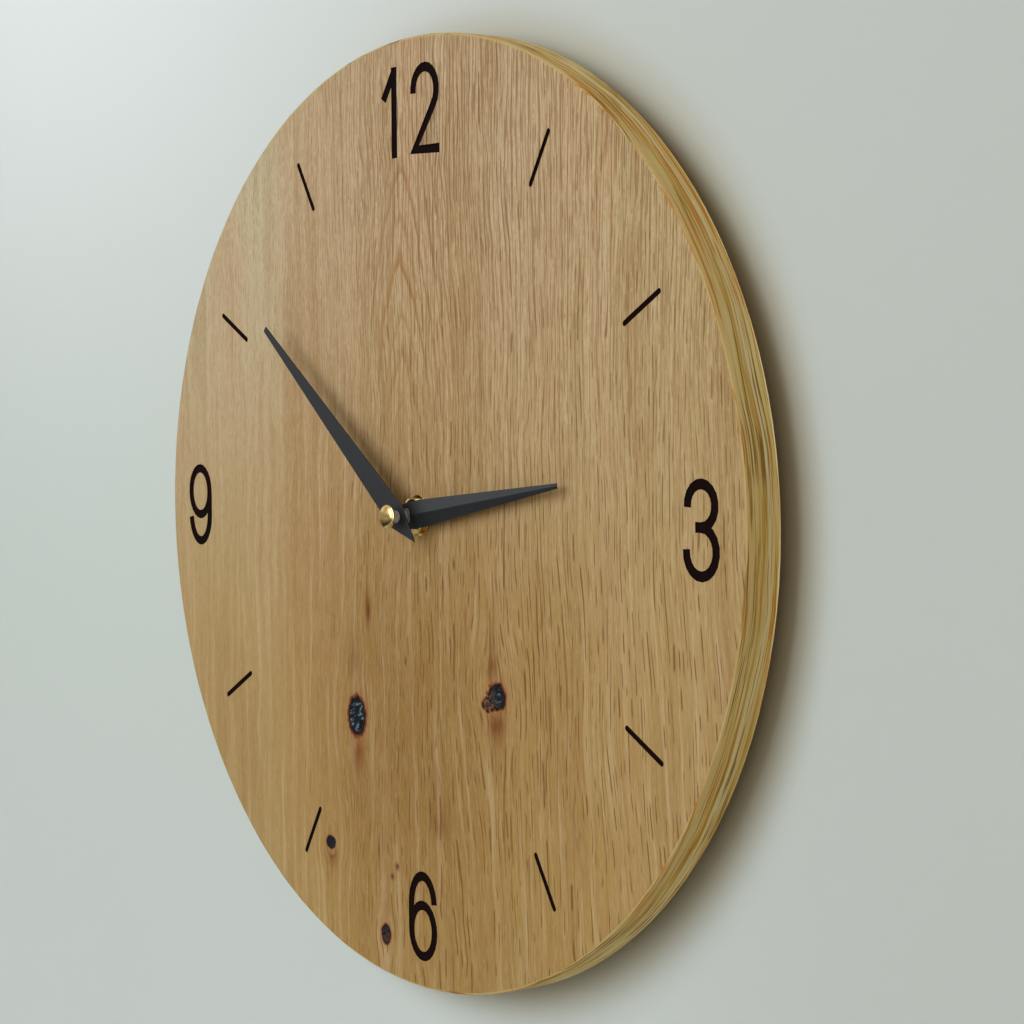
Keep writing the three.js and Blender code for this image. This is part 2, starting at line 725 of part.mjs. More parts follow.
function rearCover() {
  const side = INNER_HALF - RUN_FIT;
  const low = DIVIDER_TOP + RUN_FIT;
  const top = CASE_TOP - CASE_WALL - RUN_FIT;
  const bearings = [HUB, THIRD, FIFTH, ROTOR];
  const tabs = [];
  for (const direction of [-1, 1]) {
    for (const y of [0, CASE_TOP / 2]) {
      const outer = direction * (INNER_HALF - EASY_FIT);
      const inner = direction * (INNER_HALF - CASE_WALL / 2);
      tabs.push(box(Math.min(outer, inner), Math.max(outer, inner), y, y + COVER_TAB_LENGTH,
        COVER_THICK / 2, CONTACT_Z - RUN_FIT));
    }
  }
  const body = joined([
    box(-side, side, low, top, 0, COVER_THICK),
    ...bearings.map((place) => rod(place.x, place.y, BEARING_BOSS, COVER_THICK / 2, BOSS_TOP,
      SMALL_STEPS)),
    rod(KNOB.x, KNOB.y, KNOB_CUP_RADIUS + KNOB_CUP_WALL, COVER_THICK / 2, KNOB_CUP_BACK),
    ...tabs,
  ]);
  return cut(body, [
    rod(KNOB.x, KNOB.y, KNOB_CUP_RADIUS, -CUT_OVER, KNOB_CUP_FLOOR),
    rod(KNOB.x, KNOB.y, STEM_RADIUS + RUN_FIT, -CUT_OVER, KNOB_CUP_BACK + CUT_OVER, SMALL_STEPS),
    ...bearings.map((place) => rod(place.x, place.y, PIVOT_HOLE, COVER_THICK - PIVOT_DEPTH,
      BOSS_TOP + CUT_OVER, SMALL_STEPS)),
  ]);
}

// Train plate

function trainPlate() {
  const low = COIL_LOW - WINDOW_MARGIN;
  const high = COIL_HIGH + WINDOW_MARGIN;
  const outline = polygon([
    [-PLATE_HALF, PLATE_LOW],
    [PLATE_HALF, PLATE_LOW],
    [PLATE_HALF, low],
    [WINDOW_LEFT, low],
    [WINDOW_LEFT, high],
    [PLATE_HALF, high],
    [PLATE_HALF, PLATE_TOP],
    [-PLATE_HALF, PLATE_TOP],
  ]);
  const holes = [
    [HUB, MINUTE_TUBE + RUN_FIT],
    [THIRD, PIVOT_HOLE],
    [FIFTH, PIVOT_HOLE],
    [ROTOR, PIVOT_HOLE],
    [WORK, WORK_ARBOR + SNUG],
    [KNOB, STEM_RADIUS + RUN_FIT],
    ...postPlaces().map(([x, y]) => [{ x, y }, SCREW_SHANK + SNUG]),
    ...motorScrewPlaces().map(([x, y]) => [{ x, y }, SCREW_SHANK + SNUG]),
  ];
  return cut(slab(outline, PLATE_BACK, PLATE_FRONT), holes.map(([place, radius]) =>
    rod(place.x, place.y, radius, PLATE_BACK - CUT_OVER, PLATE_FRONT + CUT_OVER, SMALL_STEPS)));
}

// Going train

function thirdWheel() {
  return joined([
    gear(THIRD, THIRD_TEETH, THIRD_MODULE, THIRD_PHASE, THIRD_WHEEL_Z),
    gear(THIRD, THIRD_PINION_TEETH, CENTRE_MODULE, THIRD_PHASE, THIRD_PINION_Z),
    rod(THIRD.x, THIRD.y, ARBOR_HUB, THIRD_WHEEL_Z[0] - LOOSE, THIRD_PINION_Z[0] + SNUG, SMALL_STEPS),
    rod(THIRD.x, THIRD.y, ARBOR, COVER_THICK - PIVOT_DEPTH + SNUG, PLATE_FRONT - LOOSE, SMALL_STEPS),
  ]);
}

function secondsWheel() {
  return joined([
    gear(HUB, SECONDS_TEETH, SECONDS_MODULE, SECONDS_PHASE, SECONDS_WHEEL_Z),
    gear(HUB, SECONDS_PINION_TEETH, THIRD_MODULE, SECONDS_PHASE, SECONDS_PINION_Z),
    rod(0, 0, ARBOR_HUB, BOSS_TOP + RUN_FIT, SECONDS_PINION_Z[0] + SNUG, SMALL_STEPS),
    rod(0, 0, ARBOR, COVER_THICK - PIVOT_DEPTH + SNUG, MINUTE_BORE_END - LOOSE, SMALL_STEPS),
  ]);
}

function fifthWheel() {
  return joined([
    gear(FIFTH, FIFTH_TEETH, FIFTH_MODULE, FIFTH_PHASE, FIFTH_WHEEL_Z),
    gear(FIFTH, FIFTH_PINION_TEETH, SECONDS_MODULE, FIFTH_PHASE, FIFTH_PINION_Z),
    rod(FIFTH.x, FIFTH.y, ARBOR_HUB, FIFTH_PINION_Z[1] - SNUG, FIFTH_WHEEL_Z[1] + RUN_FIT,
      SMALL_STEPS),
    rod(FIFTH.x, FIFTH.y, ARBOR, COVER_THICK - PIVOT_DEPTH + SNUG, PLATE_FRONT - LOOSE, SMALL_STEPS),
  ]);
}

function rotorPinion() {
  return joined([
    gear(ROTOR, ROTOR_PINION_TEETH, FIFTH_MODULE, ROTOR_PHASE, ROTOR_PINION_Z),
    rod(ROTOR.x, ROTOR.y, ROTOR_HUB, ROTOR_PINION_Z[1] - SNUG, MAGNET_Z[1], SMALL_STEPS),
    rod(ROTOR.x, ROTOR.y, ARBOR, COVER_THICK - PIVOT_DEPTH + SNUG, PLATE_FRONT - LOOSE, SMALL_STEPS),
  ]);
}

function rotorMagnet() {
  return tube(ROTOR.x, ROTOR.y, MAGNET_RADIUS, ROTOR_HUB + SNUG, MAGNET_Z[0], MAGNET_Z[1]);
}

function centreWheel() {
  return gear(HUB, CENTRE_TEETH, CENTRE_MODULE, 0, CENTRE_WHEEL_Z, CENTRE_SEAT + SNUG, true);
}

// Motion work

function minuteArbor() {
  const body = joined([
    turned(0, 0, [
      [0, MINUTE_START],
      [MINUTE_FLANGE, MINUTE_START],
      [MINUTE_FLANGE, CENTRE_WHEEL_Z[0] - SNUG],
      [CENTRE_SEAT, CENTRE_WHEEL_Z[0] - SNUG],
      [CENTRE_SEAT, CENTRE_WHEEL_Z[1] + SNUG],
      [MINUTE_FLANGE, CENTRE_WHEEL_Z[1] + SNUG],
      [MINUTE_FLANGE, PLATE_BACK - RUN_FIT],
      [MINUTE_TUBE, PLATE_BACK - RUN_FIT],
      [MINUTE_TUBE, MINUTE_END],
      [0, MINUTE_END],
    ], ARBOR_STEPS),
    gear(HUB, CANNON_TEETH, CANNON_MODULE, 0, CANNON_PINION_Z),
  ]);
  return cut(body, [
    rod(0, 0, MINUTE_BORE, MINUTE_START - CUT_OVER, MINUTE_BORE_END, SMALL_STEPS),
  ]);
}

function workWheel() {
  return joined([
    gear(WORK, WORK_TEETH, CANNON_MODULE, WORK_PHASE, WORK_WHEEL_Z),
    gear(WORK, WORK_PINION_TEETH, HOUR_MODULE, WORK_PHASE,
      [WORK_PINION_Z[0] - SNUG, WORK_PINION_Z[1]]),
    rod(WORK.x, WORK.y, WORK_ARBOR, PLATE_BACK + LOOSE, FRONT_WALL_BACK + PIVOT_DEPTH - RUN_FIT,
      SMALL_STEPS),
    rod(WORK.x, WORK.y, WORK_HUB, PLATE_FRONT + RUN_FIT, WORK_WHEEL_Z[1], SMALL_STEPS),
  ]);
}

function hourWheel() {
  const body = joined([
    gear(HUB, HOUR_TEETH, HOUR_MODULE, HOUR_PHASE, HOUR_WHEEL_Z),
    rod(0, 0, HOUR_TUBE, HOUR_TUBE_START, HOUR_TUBE_END),
    rod(0, 0, HOUR_TUBE_FOOT, HOUR_WHEEL_Z[1] - SNUG, FRONT_WALL_BACK - RUN_FIT),
  ]);
  return cut(body, [
    rod(0, 0, HOUR_TUBE_BORE, HOUR_TUBE_START - CUT_OVER, HOUR_TUBE_END + CUT_OVER),
  ]);
}

function settingPinion() {
  return gear(KNOB, SETTING_TEETH, CANNON_MODULE, SETTING_PHASE, SETTING_PINION_Z,
    STEM_RADIUS + SNUG);
}

function setKnob() {
  const rim = [];
  for (let i = 0; i < KNOB_RIBS; i += 1) {
    const angle = (TAU * i) / KNOB_RIBS;
    rim.push(strokePoint(KNOB.x, KNOB.y, angle, KNOB_RADIUS));
    rim.push(strokePoint(KNOB.x, KNOB.y, angle + (TAU * KNOB_RIB_END_SHARE) / KNOB_RIBS, KNOB_RADIUS));
    rim.push(strokePoint(KNOB.x, KNOB.y, angle + (TAU * KNOB_GROOVE_SHARE) / KNOB_RIBS,
      KNOB_RADIUS - KNOB_RIB_DEPTH));
  }
  return joined([
    slab(polygon(rim), KNOB_BACK, KNOB_FRONT),
    rod(KNOB.x, KNOB.y, STEM_RADIUS, KNOB_FRONT - SNUG, STEM_END, SMALL_STEPS),
  ]);
}

// Motor

function motorScrewPlaces() {
  return [
    [COIL_X, STATOR_LOW + MOTOR_SCREW_INSET],
    [COIL_X, STATOR_TOP - MOTOR_SCREW_INSET],
  ];
}

function screwHoles(places, z0, z1) {
  return places.map(([x, y]) => rod(x, y, SCREW_SHANK + SNUG, z0 - CUT_OVER, z1 + CUT_OVER,
    SMALL_STEPS));
}

function stator() {
  const outline = polygon([
    [STATOR_LEFT + STATOR_CHAMFER, STATOR_LOW],
    [STATOR_END_X, STATOR_LOW],
    [STATOR_END_X, STATOR_LOW + STATOR_ARM],
    [STATOR_RIGHT, STATOR_LOW + STATOR_ARM],
    [STATOR_RIGHT, STATOR_TOP - STATOR_ARM],
    [STATOR_END_X, STATOR_TOP - STATOR_ARM],
    [STATOR_END_X, STATOR_TOP],
    [STATOR_LEFT + STATOR_CHAMFER, STATOR_TOP],
    [STATOR_LEFT, STATOR_TOP - STATOR_CHAMFER],
    [STATOR_LEFT, STATOR_LOW + STATOR_CHAMFER],
  ]);
  const z0 = PLATE_BACK - STATOR_THICK;
  return cut(slab(outline, z0, PLATE_BACK), [
    rod(ROTOR.x, ROTOR.y, STATOR_HOLE, z0 - CUT_OVER, PLATE_BACK + CUT_OVER),
    ...screwHoles(motorScrewPlaces(), z0, PLATE_BACK),
  ]);
}

function coilCore() {
  const z1 = PLATE_BACK - STATOR_THICK;
  const z0 = z1 - CORE_THICK;
  const shape = polygon([
    [COIL_X - CORE_END_HALF, STATOR_LOW],
    [COIL_X + CORE_END_HALF, STATOR_LOW],
    [COIL_X + CORE_END_HALF, STATOR_LOW + STATOR_ARM],
    [COIL_X + CORE_HALF, STATOR_LOW + STATOR_ARM],
    [COIL_X + CORE_HALF, STATOR_TOP - STATOR_ARM],
    [COIL_X + CORE_END_HALF, STATOR_TOP - STATOR_ARM],
    [COIL_X + CORE_END_HALF, STATOR_TOP],
    [COIL_X - CORE_END_HALF, STATOR_TOP],
    [COIL_X - CORE_END_HALF, STATOR_TOP - STATOR_ARM],
    [COIL_X - CORE_HALF, STATOR_TOP - STATOR_ARM],
    [COIL_X - CORE_HALF, STATOR_LOW + STATOR_ARM],
    [COIL_X - CORE_END_HALF, STATOR_LOW + STATOR_ARM],
  ]);
  return cut(slab(shape, z0, z1), screwHoles(motorScrewPlaces(), z0, z1));
}

// Lays a solid drawn along z down along y, about the middle of the coil.
function alongCoil(geometry) {
  geometry.rotateX(-Math.PI / 2);
  geometry.translate(COIL_X, 0, PLATE_BACK - STATOR_THICK - CORE_THICK / 2);
  return geometry;
}

function coilBobbin() {
  const body = joined([
    rod(0, 0, BARREL_RADIUS, COIL_LOW + SNUG, COIL_HIGH - SNUG),
    box(-FLANGE_HALF, FLANGE_HALF, -FLANGE_HALF, FLANGE_HALF, COIL_LOW, COIL_LOW + FLANGE_THICK),
    box(-FLANGE_HALF, FLANGE_HALF, -FLANGE_HALF, FLANGE_HALF, COIL_HIGH - FLANGE_THICK, COIL_HIGH),
  ]);
  const slotX = CORE_HALF + SNUG;
  const slotY = CORE_THICK / 2 + SNUG;
  return alongCoil(cut(body, [
    box(-slotX, slotX, -slotY, slotY, COIL_LOW - CUT_OVER, COIL_HIGH + CUT_OVER),
  ]));
}

function coilWinding() {
  return alongCoil(tube(0, 0, WINDING_RADIUS, BARREL_RADIUS + SNUG, COIL_LOW + FLANGE_THICK + SNUG,
    COIL_HIGH - FLANGE_THICK - SNUG));
}

// A screw with its head towards the wall and a slot across the head.
function screw([x, y], headFront, shankEnd) {
  const headBack = headFront - SCREW_HEAD_THICK;
  return cut(joined([
    rod(x, y, SCREW_HEAD, headBack, headFront, SMALL_STEPS),
    rod(x, y, SCREW_SHANK, headFront - SNUG, shankEnd, SMALL_STEPS),
  ]), [
    box(x - SCREW_HEAD - CUT_OVER, x + SCREW_HEAD + CUT_OVER, y - SCREW_SLOT / 2,
      y + SCREW_SLOT / 2, headBack - CUT_OVER, headBack + SCREW_SLOT),
  ]);
}

function motorScrews() {
  const front = PLATE_BACK - STATOR_THICK - CORE_THICK;
  return motorScrewPlaces().map((place) => screw(place, front, PLATE_FRONT - RUN_FIT));
}

function plateScrews() {
  const boardBack = PLATE_BACK - BOARD_THICK;
  return postPlaces().map((place) => {
    const onBoard = place[0] < 0 || place[1] > 0;
    return screw(place, onBoard ? boardBack : PLATE_BACK, FRONT_WALL_BACK - LOOSE);
  });
}

// Electrics

function circuitBoard() {
  const back = PLATE_BACK - BOARD_THICK;
  const outline = polygon([
    [-BOARD_HALF, BOARD_LOW],
    [BOARD_LEG_RIGHT, BOARD_LOW],
    [BOARD_LEG_RIGHT, BOARD_STRIP_LOW],
    [BOARD_HALF, BOARD_STRIP_LOW],
    [BOARD_HALF, BOARD_TOP],
    [-BOARD_HALF, BOARD_TOP],
  ]);
  return cut(slab(outline, back, PLATE_BACK), screwHoles(
    postPlaces().filter(([x, y]) => x < 0 || y > 0), back, PLATE_BACK));
}

function quartzCrystal() {
  const axisZ = PLATE_BACK - BOARD_THICK - CRYSTAL_RADIUS;
  const can = rod(0, 0, CRYSTAL_RADIUS, 0, CRYSTAL_LENGTH);
  can.rotateX(-Math.PI / 2);
  can.translate(CRYSTAL_X, CRYSTAL_Y, axisZ);
  return can;
}

function driverChip() {
  const base = PLATE_BACK - BOARD_THICK;
  const profile = Array.from({ length: DOME_STEPS + 1 }, (_, i) => {
    const angle = (Math.PI / 2) * (i / DOME_STEPS);
    return [CHIP_RADIUS * Math.sin(angle), base - CHIP_HEIGHT * Math.cos(angle)];
  });
  profile[0][0] = 0;
  return turned(CRYSTAL_X, CHIP_Y, [...profile, [0, base]], SMALL_STEPS);
}

function layAlongX(geometry) {
  geometry.rotateY(Math.PI / 2);
  geometry.translate(0, CELL_Y, CELL_Z);
  return geometry;
}

function batteryCell() {
  return layAlongX(turned(0, 0, [
    [0, CELL_X0],
    [CELL_RADIUS - CELL_EDGE, CELL_X0],
    [CELL_RADIUS, CELL_X0 + CELL_EDGE],
    [CELL_RADIUS, CELL_X1 - CELL_EDGE],
    [CELL_RADIUS - CELL_EDGE, CELL_X1],
    [CELL_NUB_RADIUS, CELL_X1],
    [CELL_NUB_RADIUS, CELL_X1 + CELL_NUB],
    [0, CELL_X1 + CELL_NUB],
  ]));
}

function contactTop() {
  return [BOARD_LOW + CONTACT_RISE, BOARD_TOP];
}

// Flat strip along the right wall, from the cell's raised end up to the circuit board.
function positiveContact() {
  const outer = INNER_HALF - SNUG;
  const inner = outer - CONTACT_THICK;
  return joined([
    box(inner, outer, CONTACT_LOW, contactTop()[1], CONTACT_Z, CONTACT_Z + CONTACT_WIDTH),
    box(inner, outer, CELL_Y - CONTACT_PAD_HALF, CELL_Y + CONTACT_PAD_HALF,
      CELL_Z - CONTACT_PAD_HALF, CELL_Z + CONTACT_PAD_HALF),
  ]);
}

// Strip along the left wall with a bowed leaf that presses on the flat end of the cell.
function negativeContact() {
  const outer = -INNER_HALF + SNUG;
  const inner = outer + CONTACT_THICK;
  const reach = outer + LEAF_REACH + CONTACT_THICK;
  const leaf = polygon([
    [outer, CONTACT_LOW],
    [inner, CONTACT_LOW],
    [reach, CELL_Y - CONTACT_THICK],
    [reach, CELL_Y + CONTACT_THICK],
    [inner, CELL_Y + CONTACT_PAD_HALF],
    [inner, contactTop()[0]],
    [outer, contactTop()[0]],
    [outer, CELL_Y + CONTACT_PAD_HALF - CONTACT_THICK],
    [reach - CONTACT_THICK, CELL_Y],
  ]);
  return slab(leaf, CONTACT_Z, CONTACT_Z + CONTACT_WIDTH);
}

// Fixing hardware

function rubberWasher() {
  return tube(0, 0, RUBBER_RADIUS, BUSH_RADIUS + RUN_FIT, CASE_DEPTH, CASE_DEPTH + RUBBER_THICK);
}

function brassWasher() {
  return tube(0, 0, WASHER_RADIUS, BUSH_RADIUS + RUN_FIT, PANEL_FRONT, PANEL_FRONT + WASHER_THICK);
}

function brassNut() {
  const z0 = PANEL_FRONT + WASHER_THICK;
  const corner = NUT_FLATS / Math.sqrt(3);
  const hexagon = slab(polygon(ringPoints(0, 0, corner, 6)), z0, z0 + NUT_THICK);
  const rounded = turned(0, 0, [
    [0, z0 - CUT_OVER],
    [corner + CUT_OVER, z0 - CUT_OVER],
    [corner + CUT_OVER, z0 + NUT_THICK - NUT_CHAMFER_DROP],
    [NUT_FLATS / 2 - NUT_CHAMFER / 2, z0 + NUT_THICK],
    [0, z0 + NUT_THICK],
  ], ROUND_STEPS + SMALL_STEPS);
  const body = toGeometry(toManifold(hexagon).intersect(toManifold(rounded)));
  return cut(body, [rod(0, 0, BUSH_RADIUS + SNUG, z0 - CUT_OVER, z0 + NUT_THICK + CUT_OVER)]);
}

// Hands

// A pressed hand lying along +y. The sheet is folded along its middle line, so the front has a ridge.
// Each station lists its distance from the hub, its half width and the lift of its middle line.
function foldedHand(stations, thick) {
  const front = [];
  for (const [along, half, lift] of stations) {
    front.push([-half, along, thick], [0, along, lift + thick], [half, along, thick]);
  }
  const back = front.map(([x, y, z]) => [x, y, z - thick]);
  const count = front.length;
  const triangles = [];
  const quad = (a, b, c, d) => triangles.push([a, b, c], [a, c, d]);
  const rows = stations.length;
  for (let i = 0; i < rows - 1; i += 1) {
    const near = i * 3;
    const far = near + 3;
    for (const side of [0, 1]) {
      quad(near + side, near + side + 1, far + side + 1, far + side);
      quad(count + far + side, count + far + side + 1, count + near + side + 1,
        count + near + side);
    }
    quad(near, far, count + far, count + near);
    quad(near + 2, count + near + 2, count + far + 2, far + 2);
  }
  const last = (rows - 1) * 3;
  for (const side of [0, 1]) {
    quad(side + 1, side, count + side, count + side + 1);
    quad(last + side, last + side + 1, count + last + side + 1, count + last + side);
  }
  const geometry = new THREE.BufferGeometry();
  geometry.setAttribute('position', new THREE.Float32BufferAttribute([...front, ...back].flat(), 3));
  geometry.setIndex(triangles.flat());
  return geometry;
}

function turnedHand(geometry, clockAngle, z) {
  geometry.rotateZ(-clockAngle);
  geometry.translate(0, 0, z);
  return geometry;
}

function hourHand() {
  const stations = [
    ...HOUR_TAIL_SHARES.map(([along, half, lift]) =>
      [-HOUR_TAIL * along, HOUR_HALF * half, HOUR_RIDGE * lift]),
    [HOUR_WIDEST, HOUR_HALF, HOUR_RIDGE],
    [HOUR_LENGTH, HOUR_TIP_HALF, HOUR_RIDGE * HOUR_TIP_RIDGE_SHARE],
  ];
  const blade = turnedHand(foldedHand(stations, HAND_THICK), REST_HOUR_ANGLE, HOUR_HAND_Z);
  return cut(blade, [
    rod(0, 0, HOUR_TUBE + EASY_FIT, HOUR_HAND_Z - CUT_OVER,
      HOUR_HAND_Z + HOUR_RIDGE + HAND_THICK + CUT_OVER),
  ]);
}

function hourHandBush() {
  const z1 = HOUR_HAND_Z - SNUG / 2;
  return tube(0, 0, HOUR_BUSH_RADIUS, HOUR_TUBE + SNUG, BUSH_END + RUN_FIT, z1);
}

function minuteHand() {
  const outline = polygon([
    [0, -MINUTE_TAIL],
    [MINUTE_HALF, 0],
    [MINUTE_TIP_HALF, MINUTE_LENGTH],
    [-MINUTE_TIP_HALF, MINUTE_LENGTH],
    [-MINUTE_HALF, 0],
  ]);
  const blade = turnedHand(slab(outline, 0, HAND_THICK), REST_MINUTE_ANGLE, MINUTE_HAND_Z);
  return cut(blade, [
    rod(0, 0, MINUTE_TUBE + SNUG, MINUTE_HAND_Z - CUT_OVER, MINUTE_HAND_Z + HAND_THICK + CUT_OVER),
  ]);
}

function minuteCollar() {
  const z0 = MINUTE_HAND_Z + HAND_THICK;
  return tube(0, 0, COLLAR_RADIUS, MINUTE_TUBE + SNUG, z0, z0 + COLLAR_THICK);
}

function minuteSpacer() {
  return tube(0, 0, COLLAR_RADIUS, MINUTE_TUBE + SNUG, HOUR_TUBE_END + RUN_FIT, MINUTE_HAND_Z);
}

function capNut() {
  const z0 = MINUTE_HAND_Z + HAND_THICK + COLLAR_THICK;
  const domeRadius = CAP_RADIUS - CAP_GROOVE;
  const dome = Array.from({ length: DOME_STEPS + 1 }, (_, i) => {
    const angle = (Math.PI / 2) * (i / DOME_STEPS);
    return [domeRadius * Math.cos(angle), z0 + CAP_SKIRT + (CAP_HEIGHT - CAP_SKIRT) * Math.sin(angle)];
  });
  dome[DOME_STEPS][0] = 0;
  return turned(0, 0, [
    [0, z0 + CAP_BORE_DEPTH],
    [MINUTE_TUBE + SNUG, z0 + CAP_BORE_DEPTH],
    [MINUTE_TUBE + SNUG, z0],
    [CAP_RADIUS - CAP_GROOVE, z0],
    [CAP_RADIUS, z0 + CAP_GROOVE],
    [CAP_RADIUS, z0 + CAP_SKIRT],
    ...dome,
  ]);
}

// Materials

function surface(color, roughness, metalness) {
  return new THREE.MeshStandardMaterial({ color, roughness, metalness });
}

const oak = () => surface(0xab9069, 0.7, 0);
const blackPlastic = () => surface(0x1d1e20, 0.55, 0);
const whitePlastic = () => surface(0xe6e4dc, 0.45, 0);
const brass = () => surface(0xb08a3c, 0.3, 1);
const steel = () => surface(0x9b9da0, 0.35, 1);
const softIron = () => surface(0x77797c, 0.5, 1);
const blackPaint = () => surface(0x2b2e31, 0.45, 0.2);
const rubber = () => surface(0x18181a, 0.85, 0);
const boardGreen = () => surface(0x2e5f3a, 0.5, 0);
const copper = () => surface(0xa4582c, 0.4, 0.8);
const ferrite = () => surface(0x3a3b3e, 0.6, 0.3);
const epoxy = () => surface(0x101112, 0.35, 0);
const cellSleeve = () => surface(0x3d5a4c, 0.4, 0.2);

function part(name, geometry, material) {
  const mesh = new THREE.Mesh(geometry, material);
  mesh.name = name;
  return mesh;
}

const clock = new THREE.Group();
clock.name = 'wall_clock';
clock.rotation.x = Math.PI / 2;
clock.add(
  part('oak_panel', oakPanel(), oak()),
  part('movement_case', movementCase(), blackPlastic()),
  part('rear_cover', rearCover(), blackPlastic()),
  part('train_plate', trainPlate(), whitePlastic()),
  ...plateScrews().map((geometry, i) => part(`plate_screw_${i + 1}`, geometry, steel())),
  part('rubber_washer', rubberWasher(), rubber()),
  part('brass_washer', brassWasher(), brass()),
  part('brass_nut', brassNut(), brass()),
  part('minute_arbor', minuteArbor(), steel()),
  part('centre_wheel', centreWheel(), whitePlastic()),
  part('third_wheel', thirdWheel(), whitePlastic()),
  part('seconds_wheel', secondsWheel(), whitePlastic()),
  part('fifth_wheel', fifthWheel(), whitePlastic()),
  part('rotor_pinion', rotorPinion(), whitePlastic()),
  part('rotor_magnet', rotorMagnet(), ferrite()),
  part('work_wheel', workWheel(), whitePlastic()),
  part('hour_wheel', hourWheel(), whitePlastic()),
  part('setting_pinion', settingPinion(), whitePlastic()),
  part('set_knob', setKnob(), blackPlastic()),
  part('stator', stator(), softIron()),
  part('coil_core', coilCore(), softIron()),
  part('coil_bobbin', coilBobbin(), blackPlastic()),
  part('coil_winding', coilWinding(), copper()),
  ...motorScrews().map((geometry, i) => part(`motor_screw_${i + 1}`, geometry, steel())),
  part('circuit_board', circuitBoard(), boardGreen()),
  part('quartz_crystal', quartzCrystal(), steel()),
  part('driver_chip', driverChip(), epoxy()),
  part('battery_cell', batteryCell(), cellSleeve()),
  part('positive_contact', positiveContact(), steel()),
  part('negative_contact', negativeContact(), steel()),
  part('hour_hand', hourHand(), blackPaint()),
  part('hour_hand_bush', hourHandBush(), steel()),
  part('minute_hand', minuteHand(), blackPaint()),
  part('minute_spacer', minuteSpacer(), steel()),
  part('minute_collar', minuteCollar(), steel()),
  part('cap_nut', capNut(), brass()),
);

export default clock;
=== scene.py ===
import json
import math

import bmesh
import bpy
from mathutils import Matrix, Vector

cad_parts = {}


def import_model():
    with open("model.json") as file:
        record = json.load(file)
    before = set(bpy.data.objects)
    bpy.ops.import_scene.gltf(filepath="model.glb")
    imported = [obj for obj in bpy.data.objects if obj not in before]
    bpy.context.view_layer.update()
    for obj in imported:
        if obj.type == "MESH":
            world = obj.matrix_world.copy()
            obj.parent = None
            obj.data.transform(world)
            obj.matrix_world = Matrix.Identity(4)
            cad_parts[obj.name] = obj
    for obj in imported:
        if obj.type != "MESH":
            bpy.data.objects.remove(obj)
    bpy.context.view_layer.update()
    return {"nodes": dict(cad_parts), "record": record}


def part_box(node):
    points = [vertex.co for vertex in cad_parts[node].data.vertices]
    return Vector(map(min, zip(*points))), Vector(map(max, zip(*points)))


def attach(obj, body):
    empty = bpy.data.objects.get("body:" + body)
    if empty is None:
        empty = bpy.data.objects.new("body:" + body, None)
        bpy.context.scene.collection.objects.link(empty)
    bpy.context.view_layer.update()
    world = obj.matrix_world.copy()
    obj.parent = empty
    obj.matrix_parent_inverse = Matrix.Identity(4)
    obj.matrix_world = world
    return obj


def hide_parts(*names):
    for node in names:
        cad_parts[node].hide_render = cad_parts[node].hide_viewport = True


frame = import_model()
nodes = frame["nodes"]

MM = 0.001

# Front level and radius of the disc, read from the frame in millimetres
panel_low, panel_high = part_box("oak_panel")
FACE_Y = panel_low.y / MM
DISC_RADIUS = panel_high.x / MM

# Camera of the photograph, with no shift
CAMERA_PLACE = (0.65444, -0.49613, 0.03665)
CAMERA_YAW = math.radians(51.917)
CAMERA_PITCH = math.radians(2.530)
CAMERA_ROLL = math.radians(-0.478)
CAMERA_LENS = 90.48
CAMERA_CLIP = (0.01, 20)
SENSOR_WIDTH = 36

# The curve of screen colours: levels, end of its straight part, slope, offset and power
SCREEN_LEVELS = 255
SCREEN_KNEE = 0.04045
SCREEN_SLOPE = 12.92
SCREEN_OFFSET = 0.055
SCREEN_POWER = 2.4


def linear(*screen):
    """Linear red, green and blue of a colour written as 0 to 255 on a screen."""
    shares = [level / SCREEN_LEVELS for level in screen]
    return tuple(share / SCREEN_SLOPE if share <= SCREEN_KNEE
                 else ((share + SCREEN_OFFSET) / (1 + SCREEN_OFFSET)) ** SCREEN_POWER
                 for share in shares)


